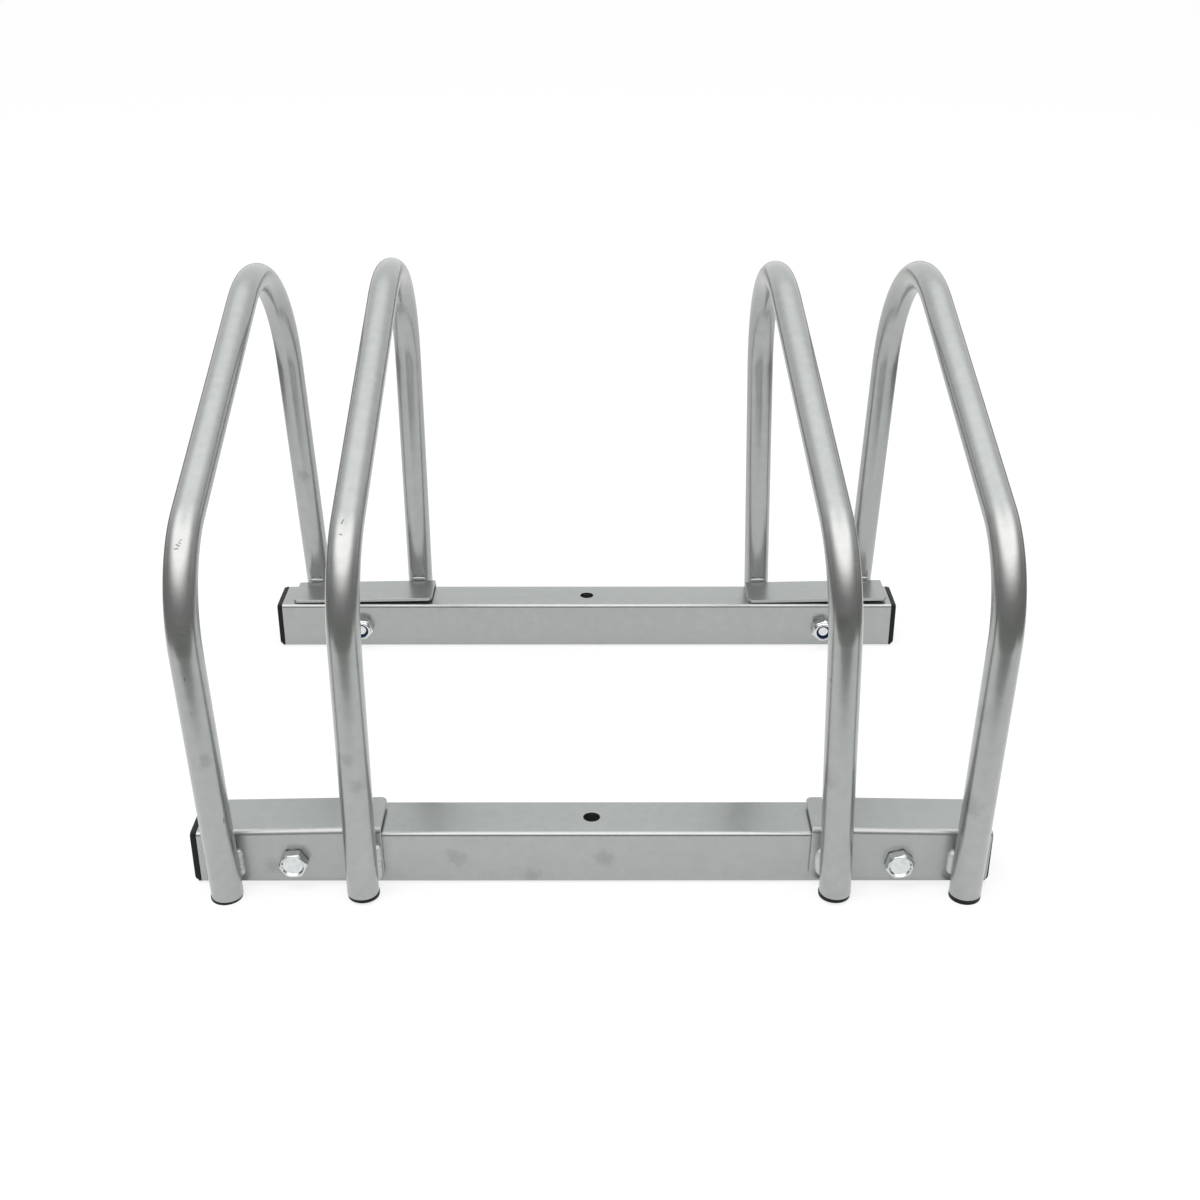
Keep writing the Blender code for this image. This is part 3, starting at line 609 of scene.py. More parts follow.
def cap_rings(side, outward):
    """The cap's square outlines along Z, from the middle of its face to the bottom of its hollow.

    The flange is a lip against the tube and a narrower face, which is cut back at its lower edge.
    """
    bore = side - 2 * (BAR_WALL + GAP)
    bore_corner = BAR_CORNER - BAR_WALL
    stem = bore - 2 * CAP_RIB_DEPTH
    pitch = CAP_STEM / (CAP_RIBS + 1)
    outside = []
    for i in range(CAP_EDGE_STEPS + 1):
        angle = QUARTER * (1 - i / CAP_EDGE_STEPS)
        inset = CAP_STEP + CAP_EDGE * (1 - math.cos(angle))
        outside.append((side - 2 * inset, BAR_CORNER, CAP_FLANGE - CAP_EDGE * (1 - math.sin(angle))))
    outside += [(side - 2 * CAP_STEP, BAR_CORNER, CAP_LIP + CAP_STEP), (side, BAR_CORNER, CAP_LIP)]
    outside += [(side, BAR_CORNER, 0), (stem, bore_corner, 0)]
    for i in range(CAP_RIBS):
        lip = -pitch * (i + 1)
        outside += [(stem, bore_corner, lip + CAP_RIB), (bore, bore_corner, lip + CAP_RIB / 2),
                    (bore, bore_corner, lip), (stem, bore_corner, lip - CAP_RIB / 2)]
    hollow = stem - 2 * CAP_WALL
    inside = [(stem, bore_corner, -CAP_STEM), (hollow, bore_corner, -CAP_STEM),
              (hollow, bore_corner, CAP_FLANGE / 2)]
    rings = []
    for width, corner, z in outside + inside:
        cut = max(0, z - CAP_LIP) / (CAP_FLANGE - CAP_LIP) * CAP_CHAMFER if width > hollow else 0
        outline = rounded_square(width, corner)
        rings.append([(x - outward * cut * max(0, 2 * x * outward / side) ** 2, y, z) for x, y in outline])
    return rings


plastic = worn("black_moulded_plastic", {"Specular IOR Level": PLASTIC_SPECULAR})
for bar_name in BARS:
    for side_name in SIDES:
        low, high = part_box(f"{bar_name}_{side_name}_end_cap")
        cap_place = (low + high) / 2
        cap_place.x = low.x + CAP_FLANGE if side_name == "left" else high.x - CAP_FLANGE
        piece = solid(f"end_cap_{bar_name}_{side_name}", cap_rings(high.z - low.z, OUTWARD[side_name]))
        put(piece, cap_place, Matrix.Rotation(OUTWARD[side_name] * QUARTER, 4, "Y"))
        shaded(piece, plastic, flat_faces=True)
        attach(piece, "root")
        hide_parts(f"{bar_name}_{side_name}_end_cap")

# Brackets: 2 mm sheet steel, punched and folded along its middle, with rounded free corners. Each
# lies over the top and the outer face of a crossbar and takes the same silver coat.
BRACKET_LENGTH = 0.091
BRACKET_SIDE = 0.030
BRACKET_PLATE = 0.002
BRACKET_BEND = 0.001
BRACKET_CORNER = 0.0035
BRACKET_REACH = GAP + BRACKET_PLATE
BRACKET_BEND_STEPS = 10
BRACKET_EDGE = 0.0004
BRACKET_EDGE_STEPS = 3
BRACKET_TILT = {"left_front": 1.1, "right_front": -1.0, "left_rear": 1.0, "right_rear": 1.1}
BRACKET_METALLIC = 0.8
BRACKET_CLEAR = 0.25
BRACKET_GLOSS = 0.3
BRACKET_RUBS = (((-0.159, -0.147, 0.012), 0.006), ((0.125, -0.147, 0.02), 0.006))


def slope(degrees):
    return math.tan(math.radians(degrees))


def arc(middle, radius, start, end, steps):
    """Points of an arc in a plane, between two angles."""
    angles = [start + (end - start) * i / steps for i in range(steps + 1)]
    return [(middle[0] + radius * math.cos(a), middle[1] + radius * math.sin(a)) for a in angles]


def bracket(side, bar):
    """A right angle in section about its bolt's axis, front flange first, then turned into place."""
    bolt = centre(f"{side}_{bar}_bolt")
    bar_low, bar_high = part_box(f"{bar}_crossbar")
    offset = centre(f"{side}_{bar}_bracket").x - bolt.x
    tilt = BRACKET_TILT[f"{side}_{bar}"]
    low_end = BRACKET_LENGTH / 2 + abs(offset)
    seat = bar_high.z - bolt.z + GAP + low_end * abs(slope(tilt))
    half = BRACKET_PLATE / 2
    front, top = -BRACKET_REACH + half, seat + half
    radius = BRACKET_BEND + half
    bend = arc((front + radius, top - radius), radius, QUARTER, 2 * QUARTER, BRACKET_BEND_STEPS)
    section = [(BRACKET_SIDE - BRACKET_REACH, top)] + bend + [(front, seat + BRACKET_PLATE - BRACKET_SIDE)]
    start = -AWAY[bar] * offset - BRACKET_LENGTH / 2
    name = f"bracket_{side}_{bar}"

    def fold(bm):
        rows = [[bm.verts.new((x, y, z)) for y, z in section] for x in (start, start + BRACKET_LENGTH)]
        for i in range(len(section) - 1):
            bm.faces.new((rows[0][i], rows[0][i + 1], rows[1][i + 1], rows[1][i]))
        ends = [v for v in bm.verts if len(v.link_edges) == 2]
        bmesh.ops.bevel(bm, geom=ends, offset=BRACKET_CORNER, segments=BRACKET_BEND_STEPS, profile=0.5,
                        affect="VERTICES")

    obj = thickened(new_object(name, mesh_of(name, fold)), BRACKET_PLATE, 0)
    drill(obj, BOLT_HOLE, (0, 0, 0), (0, 1, 0), 4 * BRACKET_REACH)
    outer_face = bar_low.y if bar == "front" else bar_high.y
    turn = Matrix.Rotation(0 if bar == "front" else 2 * QUARTER, 4, "Z")
    put(obj, (bolt.x, outer_face, bolt.z), turn @ Matrix.Rotation(AWAY[bar] * math.radians(tilt), 4, "Y"))
    return soften(obj, BRACKET_EDGE, BRACKET_EDGE_STEPS)


bracket_coat = silver_coat(
    "silver_coat_on_brackets", BRACKET_RUBS, metallic=BRACKET_METALLIC, clear=BRACKET_CLEAR,
    Gloss=BRACKET_GLOSS)
for side_name in SIDES:
    for bar_name in BARS:
        piece = bracket(side_name, bar_name)
        piece.data.materials.append(bracket_coat)
        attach(piece, "root")
        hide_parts(f"{side_name}_{bar_name}_bracket")

# Hoops: one length of round steel tube each, bent cold at the elbow and over the top, cut level
# at its feet and welded to a front and a rear bracket before the silver coat is sprayed on.
HOOPS = ("left_outer", "left_inner", "right_inner", "right_outer")
HOOP_TUBE = 0.016
HOOP_WALL = 0.0012
# Height and radius of each hoop's elbow, and of its bend over the top.
BENDS = {"left_outer": ((0.1816, 0.056), (0.2887, 0.0795)),
         "left_inner": ((0.1811, 0.051), (0.2927, 0.0785)),
         "right_inner": ((0.1841, 0.050), (0.2902, 0.0805)),
         "right_outer": ((0.1840, 0.054), (0.2917, 0.0825))}
LEG_LEAN = {"front": 1.6, "rear": 4.3}
HOOP_LEAN = {"left_outer": -1.6, "left_inner": 0.5, "right_inner": -2.1, "right_outer": 1.2}
HOOP_MOTTLE = 0.2
HOOP_SIDES = 72
HOOP_BEND_STEPS = 40
PLUG_FLANGE = 0.0013
FRONT_FLANGES = {"left_outer": 0.0013, "left_inner": 0.0017, "right_inner": 0.0018, "right_outer": 0.0023}
CHIP_SHADE = (0.10, 0.095, 0.085, 1)
CHIP_STRENGTH = 0.8
CHIP_DEPTH = 0.00003
CHIP_EDGE = {"Fineness": 1800, "Softness": 0.6}
CHIPS = {
    "left_outer": (((-0.1884, -0.1472, 0.1889), (-0.1870, -0.1471, 0.1891), 0.0006),
                   ((-0.1877, -0.1457, 0.1904), (-0.1867, -0.1461, 0.1900), 0.0006),
                   ((-0.1866, -0.1450, 0.1911), (-0.1860, -0.1453, 0.1908), 0.0004),
                   ((-0.1866, -0.1443, 0.1916), (-0.1856, -0.1434, 0.1921), 0.0003),
                   ((-0.1773, -0.1617, 0.0511), (-0.1775, -0.1619, 0.0492), 0.0005),
                   ((-0.1857, -0.1669, 0.1324), (-0.1859, -0.1669, 0.1308), 0.0003),
                   ((-0.1851, -0.1664, 0.1131), 0.0005)),
    "left_inner": (((-0.1121, -0.1355, 0.1984), (-0.1127, -0.1374, 0.1974), 0.0005),
                   ((-0.1130, -0.1423, 0.1942), (-0.1121, -0.1427, 0.1940), 0.0005),
                   ((-0.1133, 0.1183, 0.2303), 0.0008)),
    "right_inner": (((0.1142, -0.1631, 0.1291), 0.0008),),
    "right_outer": (((0.1817, 0.1134, 0.2506), 0.0007),),
}
HOOP_RUBS = {
    "left_outer": (((-0.1853, 0.1433, 0.1105), 0.006), ((-0.1812, -0.1649, 0.0866), 0.005),
                   ((-0.1828, -0.1655, 0.0859), (-0.1821, -0.1652, 0.0841), 0.0009)),
    "left_inner": (((-0.1095, -0.1646, 0.0712), 0.006), ((-0.1145, -0.1654, 0.0869), 0.005)),
    "right_inner": (((0.1144, -0.1633, 0.075), 0.008), ((0.116, -0.1650, 0.16), 0.006)),
    "right_outer": (((0.186, -0.1650, 0.06), 0.008), ((0.184, -0.165, 0.11), 0.007)),
}


def foot(hoop, bar):
    return centre(f"{hoop}_{bar}_foot").xy


def foot_sizes(hoop, bar):
    """Height of a foot plug's underside off the floor, and thickness of its flange."""
    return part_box(f"{hoop}_{bar}_foot")[0].z, FRONT_FLANGES[hoop] if bar == "front" else PLUG_FLANGE


def leg_end(hoop, bar):
    """Height of the tube's end over the floor."""
    return sum(foot_sizes(hoop, bar)) + GAP


def on_leg(hoop, bar, height):
    """The point of a leg's axis at this height, in the hoop's leaning plane."""
    front, rear = foot(hoop, "front"), foot(hoop, "rear")
    depth = foot(hoop, bar).y - slope(LEG_LEAN[bar]) * height
    along = (depth - front.y) / (rear.y - front.y)
    return Vector((front.x + (rear.x - front.x) * along + slope(HOOP_LEAN[hoop]) * height, depth, height))


def leg_lean(hoop, bar):
    """How far a leg's axis moves over each metre of height."""
    return on_leg(hoop, bar, 1) - on_leg(hoop, bar, 0)


def path_tree(name, numbers, *others):
    """A Geometry Nodes tree for an object of one line. Gives its inputs and the line as a curve."""
    inputs = [("Geometry", "Geometry", None), ("Material", "Material", None), *floats(numbers), *others]
    tree, given = new_group(name, "GeometryNodeTree", inputs, [("Geometry", "Geometry")])
    return tree, given, node(tree, "GeometryNodeMeshToCurve", {"Mesh": given["Geometry"]}).outputs[0]


def round_skin(tree, given, path, filled, width=1.0):
    """A round skin along a path, with open or filled ends."""
    ring = node(tree, "GeometryNodeCurvePrimitiveCircle", {
        "Resolution": given["Sides"], "Radius": given["Radius"]}, mode="RADIUS")
    skin = node(tree, "GeometryNodeCurveToMesh", {
        "Curve": path, "Profile Curve": ring.outputs["Curve"], "Scale": width, "Fill Caps": filled})
    return skin.outputs[0]


def finished(tree, given, skin, offset, selection=True):
    """Moves the skin's points, makes it real and gives it its material."""
    moved = node(tree, "GeometryNodeSetPosition", {
        "Geometry": skin, "Selection": selection, "Offset": offset})
    real = node(tree, "GeometryNodeRealizeInstances", {"Geometry": moved.outputs[0]})
    done = node(tree, "GeometryNodeSetMaterial", {"Geometry": real.outputs[0], "Material": given["Material"]})
    node(tree, "NodeGroupOutput", {"Geometry": done.outputs[0]})
    return tree


def position(tree):
    """Where a point of the skin is, as a vector and as its three parts."""
    place = node(tree, "GeometryNodeInputPosition").outputs[0]
    return place, node(tree, "ShaderNodeSeparateXYZ", {0: place}).outputs


def bent_tube_tree():
    """Rounds the corners of a path of straight runs, gives it a round section and cuts its ends level."""
    tree, given, runs = path_tree(
        "bent_tube", {"Radius": HOOP_TUBE / 2, "Front Level": None, "Rear Level": None},
        ("Front Lean", "Vector", None), ("Rear Lean", "Vector", None), ("Sides", "Int", HOOP_SIDES),
        ("Bend Steps", "Int", HOOP_BEND_STEPS))
    radius = node(tree, "GeometryNodeInputNamedAttribute", {"Name": "bend_radius"}, data_type="FLOAT")
    path = node(tree, "GeometryNodeFilletCurve", {
        "Curve": runs, "Count": given["Bend Steps"], "Radius": radius.outputs["Attribute"]}, mode="POLY")
    part = position(tree)[1]
    at_foot = calc(tree, "LESS_THAN", part["Z"], calc(tree, "MULTIPLY", given["Radius"], 2.0))
    at_rear = calc(tree, "GREATER_THAN", part["Y"], 0.0)
    lean, level = (
        node(tree, "GeometryNodeSwitch", {
            "Switch": at_rear, "False": given[f"Front {what}"], "True": given[f"Rear {what}"]},
            input_type=kind).outputs[0]
        for what, kind in (("Lean", "VECTOR"), ("Level", "FLOAT")))
    short = calc(tree, "SUBTRACT", level, part["Z"])
    skin = round_skin(tree, given, path.outputs[0], False)
    return finished(tree, given, skin, scaled(tree, lean, short), at_foot)


def line(name, points):
    """An object of one line through these points."""
    mesh = bpy.data.meshes.new(name)
    mesh.from_pydata(points, [(i, i + 1) for i in range(len(points) - 1)], [])
    return new_object(name, mesh)


def with_nodes(obj, tree, values):
    """Runs a Geometry Nodes tree on an object with these inputs, and applies it."""
    made = obj.modifiers.new(tree.name, "NODES")
    made.node_group = tree
    sockets = {item.name: item.identifier for item in tree.interface.items_tree if item.in_out == "INPUT"}
    for label, value in values.items():
        made[sockets[label]] = value
    return plain(obj)


def tidied(obj):
    """Merges an object's doubled points and turns its faces outwards."""
    bm = bmesh.new()
    bm.from_mesh(obj.data)
    bmesh.ops.remove_doubles(bm, verts=bm.verts, dist=JOINED)
    bmesh.ops.recalc_face_normals(bm, faces=bm.faces)
    bm.to_mesh(obj.data)
    bm.free()
    return obj


def hoop_piece(hoop, material):
    """A hoop: three straight runs with two rounded corners between them, and a wall inside its skin."""
    front_end, rear_end = leg_end(hoop, "front"), leg_end(hoop, "rear")
    (elbow_height, elbow_radius), (apex_height, apex_radius) = BENDS[hoop]
    obj = line(f"hoop_{hoop}", [
        on_leg(hoop, "front", front_end), on_leg(hoop, "front", elbow_height),
        on_leg(hoop, "rear", apex_height), on_leg(hoop, "rear", rear_end)])
    radii = obj.data.attributes.new("bend_radius", "FLOAT", "POINT")
    radii.data.foreach_set("value", (0, elbow_radius, apex_radius, 0))
    with_nodes(obj, bent_tube, {
        "Front Level": front_end, "Rear Level": rear_end, "Front Lean": leg_lean(hoop, "front"),
        "Rear Lean": leg_lean(hoop, "rear"), "Material": material})
    obj.data.attributes.remove(obj.data.attributes["bend_radius"])
    return thickened(tidied(obj), HOOP_WALL, even=False)


bent_tube = bent_tube_tree()
for hoop_name in HOOPS:
    hoop_coat = silver_coat(
        f"silver_coat_on_{hoop_name}_hoop", HOOP_RUBS[hoop_name], CHIPS[hoop_name], Mottle=HOOP_MOTTLE)
    piece = shaded(hoop_piece(hoop_name, hoop_coat), hoop_coat)
    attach(piece, "root")
    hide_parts(f"{hoop_name}_hoop")

# Foot plugs: black moulded plastic under each leg. A flange as wide as the tube keeps the steel
# off the floor, and a barbed hollow stem holds the plug in the tube.
PLUG_EDGE = 0.00015
PLUG_EDGE_STEPS = 4
PLUG_SHIFT = {"left_outer": -0.0004, "left_inner": 0.0003, "right_inner": -0.0004, "right_outer": 0.0}
PLUG_STEM = 0.012
PLUG_WALL = 0.0013
PLUG_BARB = 0.0016
PLUG_BARB_DEPTH = 0.0006
PLUG_BARBS = 2
TURN_STEPS = 64


def turned_rings(profile):
    """Rings about Z for a profile of radii and heights."""
    angles = [FULL_TURN * i / TURN_STEPS for i in range(TURN_STEPS)]
    return [[(radius * math.cos(a), radius * math.sin(a), height) for a in angles]
            for radius, height in profile]


def plug_profile(flange):
    """Half section of a foot plug, from the middle of its underside to the floor of its hollow."""
    radius = HOOP_TUBE / 2
    crest = radius - HOOP_WALL - GAP
    root = crest - PLUG_BARB_DEPTH
    hollow = root - PLUG_WALL
    floor_level = flange + PLUG_WALL
    top = flange + PLUG_STEM
    pitch = (top - floor_level) / (PLUG_BARBS + 1)
    foot_edge = arc((radius - PLUG_EDGE, PLUG_EDGE), PLUG_EDGE, -QUARTER, 0, PLUG_EDGE_STEPS)
    stem = [(radius, flange), (root, flange)]
    for i in range(PLUG_BARBS):
        lip = floor_level + pitch * (i + 1)
        stem += [(root, lip), (crest, lip), (root, lip + PLUG_BARB)]
    return foot_edge + stem + [(root, top), (hollow, top), (hollow, floor_level)]


for hoop_name in HOOPS:
    for bar_name in BARS:
        lift, flange = foot_sizes(hoop_name, bar_name)
        aside = PLUG_SHIFT[hoop_name] if bar_name == "front" else 0
        rings = [[(x + (aside if z <= flange else 0), y, z) for x, y, z in ring]
                 for ring in turned_rings(plug_profile(flange))]
        piece = solid(f"foot_{hoop_name}_{bar_name}", rings)
        lean = leg_lean(hoop_name, bar_name)
        shear = Matrix(((1, 0, lean.x, 0), (0, 1, lean.y, 0), (0, 0, 1, 0), (0, 0, 0, 1)))
        put(piece, on_leg(hoop_name, bar_name, lift), shear)
        shaded(piece, plastic, flat_faces=True)
        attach(piece, "root")
        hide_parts(f"{hoop_name}_{bar_name}_foot")

# Bolts: M8 hexagon bolts of zinc-plated steel, forged with a dished and chamfered head over a thin
# washer face, and rolled with a thread along the shank. They hold the brackets to the crossbars.
HEX_CORNERS = 6
HEX_SIDE = 0.013
HEX_FLAT = HEX_SIDE / 2
HEX_CORNER = HEX_SIDE / math.sqrt(3)
HEX_EDGE = 0.0002
HEX_EDGE_ANGLE = 20
HEAD_HEIGHT = 0.0053
HEAD_RISE = 0.0004
HEAD_CROWN = 0.945
DISH_FLOOR = 0.0050
DISH_RIM = 0.0058
DISH_DEPTH = 0.0009
DISH_UP = 0.0002
CROWN_SLOPE = 40
WASHER_FACE = 0.95
THREAD_RADIUS = 0.0039
THREAD_PITCH = 0.00125
THREAD_DEPTH = 0.00062
THREAD_FLANK = 2.6
THREAD_ROWS = 8.0
THREAD_SIDES = 36
TIP_EDGE = 0.0009
HEAD_TURN = {"left_front": 3, "right_front": 16, "left_rear": 20, "right_rear": 48}
ZINC = {"Shade": (0.685, 0.72, 0.725, 1), "Worn Shade": (0.50, 0.53, 0.535, 1), "Gloss": 0.10,
        "Patch Scale": 380, "Patch Start": 0.42, "Patch End": 0.72, "Patch Roughness": 0.06,
        "Grain Scale": 2600, "Grain Depth": 0.0000015}
ZINC_ANGLE = 28


def thread_tree():
    """Cuts a thread along a straight path: the radius rises and falls once in each pitch."""
    tree, given, path = path_tree("rolled_thread", {
        "Radius": THREAD_RADIUS, "Pitch": THREAD_PITCH, "Depth": THREAD_DEPTH, "Rows": THREAD_ROWS,
        "Tip Edge": TIP_EDGE, "Tip Level": None}, ("Sides", "Int", THREAD_SIDES))
    rows = node(tree, "GeometryNodeResampleCurve", {
        "Curve": path, "Length": calc(tree, "DIVIDE", given["Pitch"], given["Rows"])}, mode="LENGTH")
    skin = round_skin(tree, given, rows.outputs[0], True)
    place, part = position(tree)
    turns = calc(tree, "DIVIDE", calc(tree, "ARCTAN2", part["Y"], part["X"]), FULL_TURN)
    phase = calc(tree, "SUBTRACT", calc(tree, "DIVIDE", part["Z"], given["Pitch"]), turns)
    wave = calc(tree, "PINGPONG", phase, 0.5)
    groove = calc(tree, "MINIMUM", calc(tree, "MULTIPLY", wave, THREAD_FLANK), 1.0)
    cut = calc(tree, "MULTIPLY", calc(tree, "SUBTRACT", 1.0, groove), given["Depth"])
    over_tip = calc(tree, "SUBTRACT", part["Z"], given["Tip Level"])
    chamfer = calc(tree, "MAXIMUM", calc(tree, "SUBTRACT", given["Tip Edge"], over_tip), 0.0)
    lost = calc(tree, "DIVIDE", calc(tree, "MAXIMUM", cut, chamfer), given["Radius"])
    flat = vector_calc(tree, "MULTIPLY", place, (1, 1, 0))
    return finished(tree, given, skin, scaled(tree, flat, calc(tree, "MULTIPLY", lost, -1.0)))


def combine(obj, profile, operation):
    """Adds a solid turned about Z to an object, cuts it away or keeps what they share."""
    return join(obj, solid("turned", turned_rings(profile)), operation)


def hexagon(name, bottom, top, crown, crowned_ends):
    """A hexagonal prism whose ends are chamfered down from a round crown."""
    drop = (HEX_CORNER - crown) * slope(CROWN_SLOPE)
    angles = [FULL_TURN * i / HEX_CORNERS for i in range(HEX_CORNERS)]
    rings = [[(HEX_CORNER * math.cos(a), HEX_CORNER * math.sin(a), z) for a in angles] for z in (bottom, top)]
    profile = [(crown, top), (HEX_CORNER, top - drop)]
    profile += [(HEX_CORNER, bottom + drop), (crown, bottom)] if crowned_ends == 2 else [(HEX_CORNER, bottom)]
    return combine(solid(name, rings), profile, "INTERSECT")


def bolt_piece(name, length, up, material):
    """A bolt along Z with its bearing face at the origin. The dish in its head sits a little up."""
    head = hexagon(name, HEAD_RISE, HEAD_HEIGHT, HEAD_CROWN * HEX_FLAT, 1)
    dish = solid("dish", turned_rings([
        (DISH_FLOOR, HEAD_HEIGHT - DISH_DEPTH), (DISH_RIM, HEAD_HEIGHT), (DISH_RIM, 2 * HEAD_HEIGHT)]))
    join(head, put(dish, DISH_UP * up, Matrix.Identity(4)), "DIFFERENCE")
    combine(head, [(WASHER_FACE * HEX_FLAT, HEAD_HEIGHT / 2), (WASHER_FACE * HEX_FLAT, 0)], "UNION")
    soften(head, HEX_EDGE, angle=HEX_EDGE_ANGLE)
    tip = HEAD_HEIGHT - length
    shank = line("thread", [(0, 0, HEAD_HEIGHT / 2), (0, 0, tip)])
    with_nodes(shank, rolled_thread, {"Tip Level": tip, "Material": material})
    return join(head, tidied(shank), "UNION")


def along_depth(direction, degrees):
    """A turn that lays a piece made along Z along Y, after a turn about its own axis."""
    return Matrix.Rotation(direction * QUARTER, 4, "X") @ Matrix.Rotation(math.radians(degrees), 4, "Z")


def at_depth(part_name, depth):
    """The middle of a CAD node's box, moved to another depth."""
    middle = centre(part_name)
    return Vector((middle.x, depth, middle.z))


zinc = worn("bright_zinc_plate", {"Metallic": 1.0}, **ZINC)
rolled_thread = thread_tree()
for side_name in SIDES:
    for bar_name in BARS:
        corner = f"{side_name}_{bar_name}"
        low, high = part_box(f"{corner}_bolt")
        bearing = low.y + HEAD_HEIGHT if bar_name == "front" else high.y - HEAD_HEIGHT
        facing = along_depth(-AWAY[bar_name], HEAD_TURN[corner])
        up = facing.to_3x3().inverted() @ Vector((0, 0, 1))
        piece = bolt_piece(f"bolt_{corner}", high.y - low.y, up, zinc)
        put(piece, at_depth(f"{corner}_bolt", bearing), facing)
        shaded(piece, zinc, ZINC_ANGLE, True)
        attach(piece, "root")
        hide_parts(f"{corner}_bolt")

# Lock nuts: zinc-plated steel with a round collar, which is rolled in over a ring of blue nylon.
# The ring grips the bolt's thread. They are run up against the inner faces of the crossbars.
NUT_HEIGHT = 0.008
NUT_HEX = 0.0062
NUT_CROWN = 0.95
COLLAR_WALL = 0.0006
INSERT_WALL = 0.0011
INSERT_HEIGHT = 0.0018
NUT_BORE = THREAD_RADIUS + GAP
INSERT_RADIUS = NUT_BORE + INSERT_WALL
RECESS_RADIUS = INSERT_RADIUS + GAP
COLLAR_RADIUS = RECESS_RADIUS + COLLAR_WALL
RECESS_TOP = NUT_HEIGHT - COLLAR_WALL
INSERT_TOP = RECESS_TOP - GAP
LIP_RADIUS = 0.0046
LIP_ROUND = 0.0011
LIP_DROP = 0.00025
LIP_STEPS = 8
NUT_TURN = {"left_front": 5, "right_front": 33, "left_rear": -10, "right_rear": 20}
NYLON_SHADE = (0.002, 0.020, 0.100, 1)
NYLON_GLOSS = 0.32
WAX_NOISE = (900, 2)
WAX_ROUGHNESS = 0.1
WAX_DEPTH = 0.00001


def nylon():
    """Dyed nylon, slightly waxy and uneven."""
    material, tree, place = new_material("blue_nylon_ring")
    waxy = noise(tree, place, *WAX_NOISE)
    surfaced(tree, calc(tree, "MULTIPLY", waxy, WAX_DEPTH), {
        "Base Color": NYLON_SHADE, "Roughness": calc(tree, "MULTIPLY_ADD", waxy, WAX_ROUGHNESS, NYLON_GLOSS)})
    return material


def nut_piece(name):
    """A lock nut along Z with its bearing face at the origin."""
    nut = hexagon(name, 0, NUT_HEX, NUT_CROWN * HEX_FLAT, 2)
    dome = arc((COLLAR_RADIUS - LIP_ROUND, NUT_HEIGHT - LIP_ROUND), LIP_ROUND, QUARTER, 0, LIP_STEPS)
    collar = [(LIP_RADIUS - GAP, NUT_HEIGHT - LIP_DROP)] + dome + [(COLLAR_RADIUS, NUT_HEX / 2)]
    combine(nut, collar, "UNION")
    low = INSERT_TOP - INSERT_HEIGHT - GAP
    bore = [(LIP_RADIUS, 2 * NUT_HEIGHT), (LIP_RADIUS, RECESS_TOP), (RECESS_RADIUS, RECESS_TOP),
            (RECESS_RADIUS, low), (NUT_BORE, low), (NUT_BORE, -NUT_HEIGHT)]
    combine(nut, bore, "DIFFERENCE")
    return soften(nut, HEX_EDGE / 2, angle=HEX_EDGE_ANGLE)


def insert_piece(name):
    low = INSERT_TOP - INSERT_HEIGHT
    profile = [(INSERT_RADIUS, INSERT_TOP), (INSERT_RADIUS, low), (NUT_BORE, low), (NUT_BORE, INSERT_TOP)]
    return solid(name, turned_rings(profile), "loop")


blue_nylon = nylon()
for side_name in SIDES:
    for bar_name in BARS:
        corner = f"{side_name}_{bar_name}"
        low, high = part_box(f"{corner}_lock_nut")
        nut_place = at_depth(f"{corner}_lock_nut", low.y if bar_name == "front" else high.y)
        facing = along_depth(AWAY[bar_name], NUT_TURN[corner])
        piece = put(nut_piece(f"lock_nut_{corner}"), nut_place, facing)
        shaded(piece, zinc, ZINC_ANGLE, True)
        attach(piece, "root")
        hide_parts(f"{corner}_lock_nut")
        piece = put(insert_piece(f"nut_insert_{corner}"), nut_place, facing)
        shaded(piece, blue_nylon)
        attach(piece, "root")
        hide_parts(f"{corner}_nut_insert")

# Weld beads: steel laid by hand up both flanks of each leg, and across the top of each rear
# joint, under the same coat. The metal froze in ripples and is lumpy.
BEAD_RADIUS = 0.0027
BEAD_OPENING = 0.0037
BEAD_OFF_FACE = 0.0009
BEAD_LENGTHS = {"left_outer": 0.0155, "left_inner": 0.021, "right_inner": 0.0155, "right_outer": 0.014}
BEAD_STEP = 0.00035
BEAD_SIDES = 24
BEAD_RIPPLE = 0.0012
BEAD_END_FULLNESS = 1.02
LUMP_NOISE = (320, 2)
SEED_STEP = 0.31
TOP_BEAD_LENGTH = 0.0095
TOP_BEAD_RADIUS = 0.0024
TOP_BEAD_FORWARD = 0.0012
BEAD_FORM = {"left_outer": (0.10, 0.0005, 1.0, 0.8), "left_inner": (0.05, 0.0013, 1.0, 1.0),
             "right_inner": (0.015, 0.0002, 2.4, 1.2), "right_outer": (0.02, 0.0003, 1.2, 1.0),
             "top": (0.02, 0.0003, 2.0, 0.6)}
# Painted highlight: the flank beads' coat is paler than the rest of the coat.
WELD_PAINTED_HIGHLIGHT_SHADE = (0.58, 0.59, 0.59, 1)
WELD_METALLIC = 0.45
WELD_GLOSS = 0.38
WELD_ANGLE = 60


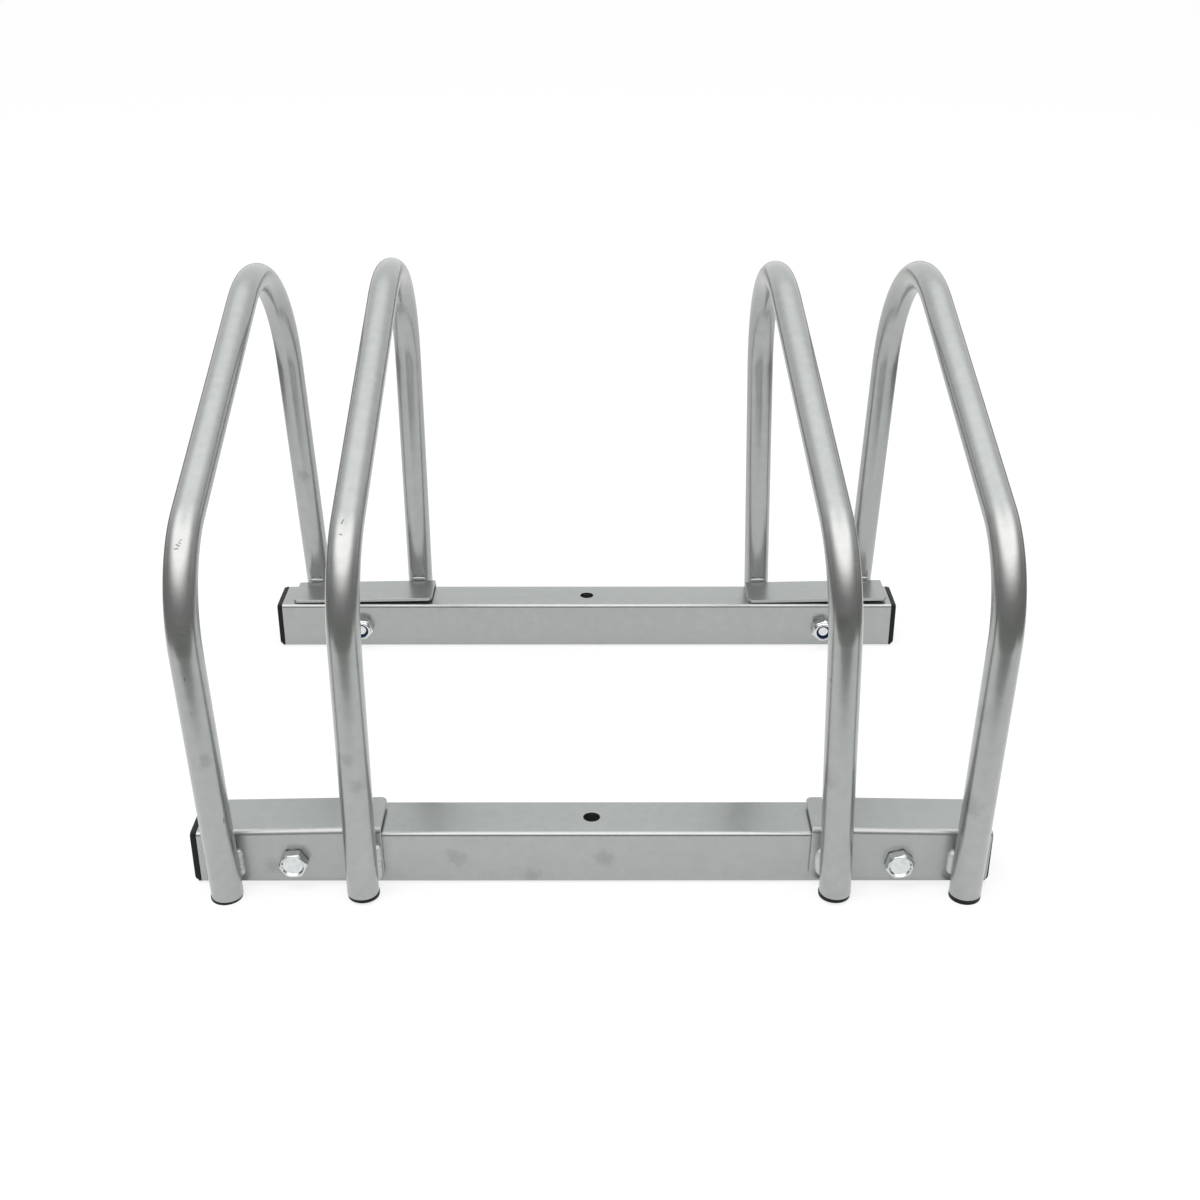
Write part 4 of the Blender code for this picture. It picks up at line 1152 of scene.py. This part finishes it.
def bead_tree():
    """A bead along a path: rounded ends, ripples along it and lumps all over."""
    tree, given, path = path_tree("weld_bead", {
        "Radius": BEAD_RADIUS, "Step": BEAD_STEP, "Ripple": BEAD_RIPPLE, "Ripple Depth": None,
        "Lumps": None, "End Length": None, "Seed": None}, ("Sides", "Int", BEAD_SIDES))
    steps = node(tree, "GeometryNodeResampleCurve", {"Curve": path, "Length": given["Step"]}, mode="LENGTH")
    along = node(tree, "GeometryNodeSplineParameter").outputs["Length"]
    length = node(tree, "GeometryNodeSplineLength").outputs["Length"]
    to_end = calc(tree, "MINIMUM", along, calc(tree, "SUBTRACT", length, along))
    inside = calc(tree, "MINIMUM", calc(tree, "DIVIDE", to_end, given["End Length"]), 1.0)
    short = calc(tree, "SUBTRACT", 1.0, inside)
    fall = calc(tree, "SUBTRACT", BEAD_END_FULLNESS, calc(tree, "MULTIPLY", short, short))
    turns = calc(tree, "DIVIDE", calc(tree, "MULTIPLY", along, FULL_TURN), given["Ripple"])
    ripple = calc(tree, "MULTIPLY_ADD", calc(tree, "SINE", turns), given["Ripple Depth"], 1.0)
    width = calc(tree, "MULTIPLY", calc(tree, "SQRT", fall), ripple)
    skin = round_skin(tree, given, steps.outputs[0], True, width)
    lump = uneven(tree, vector_calc(tree, "ADD", position(tree)[0], given["Seed"]), *LUMP_NOISE)
    normal = node(tree, "GeometryNodeInputNormal").outputs[0]
    return finished(tree, given, skin, scaled(tree, normal, calc(tree, "MULTIPLY", lump, given["Lumps"])))


def bead_piece(name, start, end, radius, form, seed, material):
    """A bead between two points. Its form is its ripple, lumps, ends' length in radii and girth."""
    ripple_depth, lumps, taper, girth = form
    obj = with_nodes(line(name, [start, end]), weld_bead, {
        "Radius": girth * radius, "Ripple Depth": ripple_depth, "Lumps": lumps, "End Length": taper * radius,
        "Seed": seed, "Material": material})
    return tidied(obj)


def side_bead_ends(hoop, bar, flank):
    """Ends of a bead in the corner between a leg's flank and its bracket."""
    bar_low, bar_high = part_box(f"{bar}_crossbar")
    level = (bar_low.z + bar_high.z) / 2
    axis = on_leg(hoop, bar, level)
    face = bar_low.y - BRACKET_REACH if bar == "front" else bar_high.y + BRACKET_REACH
    reach = math.sqrt((HOOP_TUBE / 2 + GAP) ** 2 - (abs(axis.y - face) - BEAD_OPENING) ** 2)
    middle = Vector((axis.x + OUTWARD[flank] * reach, face + AWAY[bar] * BEAD_OFF_FACE, level))
    half = Vector((leg_lean(hoop, bar).x, 0, 1)) * BEAD_LENGTHS[hoop] / 2
    return middle - half, middle + half


def top_bead_ends(hoop):
    """Ends of a bead across the joint of a rear leg and the top of its bracket."""
    low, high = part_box(f"{hoop}_rear_weld_top")
    joint = on_leg(hoop, "rear", high.z - TOP_BEAD_RADIUS)
    place = Vector((joint.x, joint.y - HOOP_TUBE / 2 - TOP_BEAD_FORWARD, (low.z + high.z) / 2))
    half = Vector((TOP_BEAD_LENGTH / 2, 0, 0))
    return place - half, place + half


# The flank beads' coat is painted paler as a painted highlight; the top beads keep the coat's own shade.
weld_coat_with_painted_highlight = silver_coat("silver_coat_on_welds_with_painted_highlight", metallic=WELD_METALLIC, Shade=WELD_PAINTED_HIGHLIGHT_SHADE, Gloss=WELD_GLOSS)
joint_coat = silver_coat("silver_coat_on_rear_joints", Gloss=WELD_GLOSS)
weld_bead = bead_tree()
for number, hoop_name in enumerate(HOOPS):
    for bar_name in BARS:
        beads = {flank: (side_bead_ends(hoop_name, bar_name, flank), BEAD_RADIUS) for flank in SIDES}
        if bar_name == "rear":
            beads["top"] = (top_bead_ends(hoop_name), TOP_BEAD_RADIUS)
        for place_name, (ends, bead_radius) in beads.items():
            bead_seed = number + SEED_STEP * len(place_name)
            form = BEAD_FORM["top" if place_name == "top" else hoop_name]
            coat = joint_coat if place_name == "top" else weld_coat_with_painted_highlight
            bead_name = f"weld_{hoop_name}_{bar_name}_{place_name}"
            piece = bead_piece(bead_name, *ends, bead_radius, form, bead_seed, coat)
            shaded(piece, coat, WELD_ANGLE)
            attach(piece, "root")
            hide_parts(f"{hoop_name}_{bar_name}_weld_{place_name}")
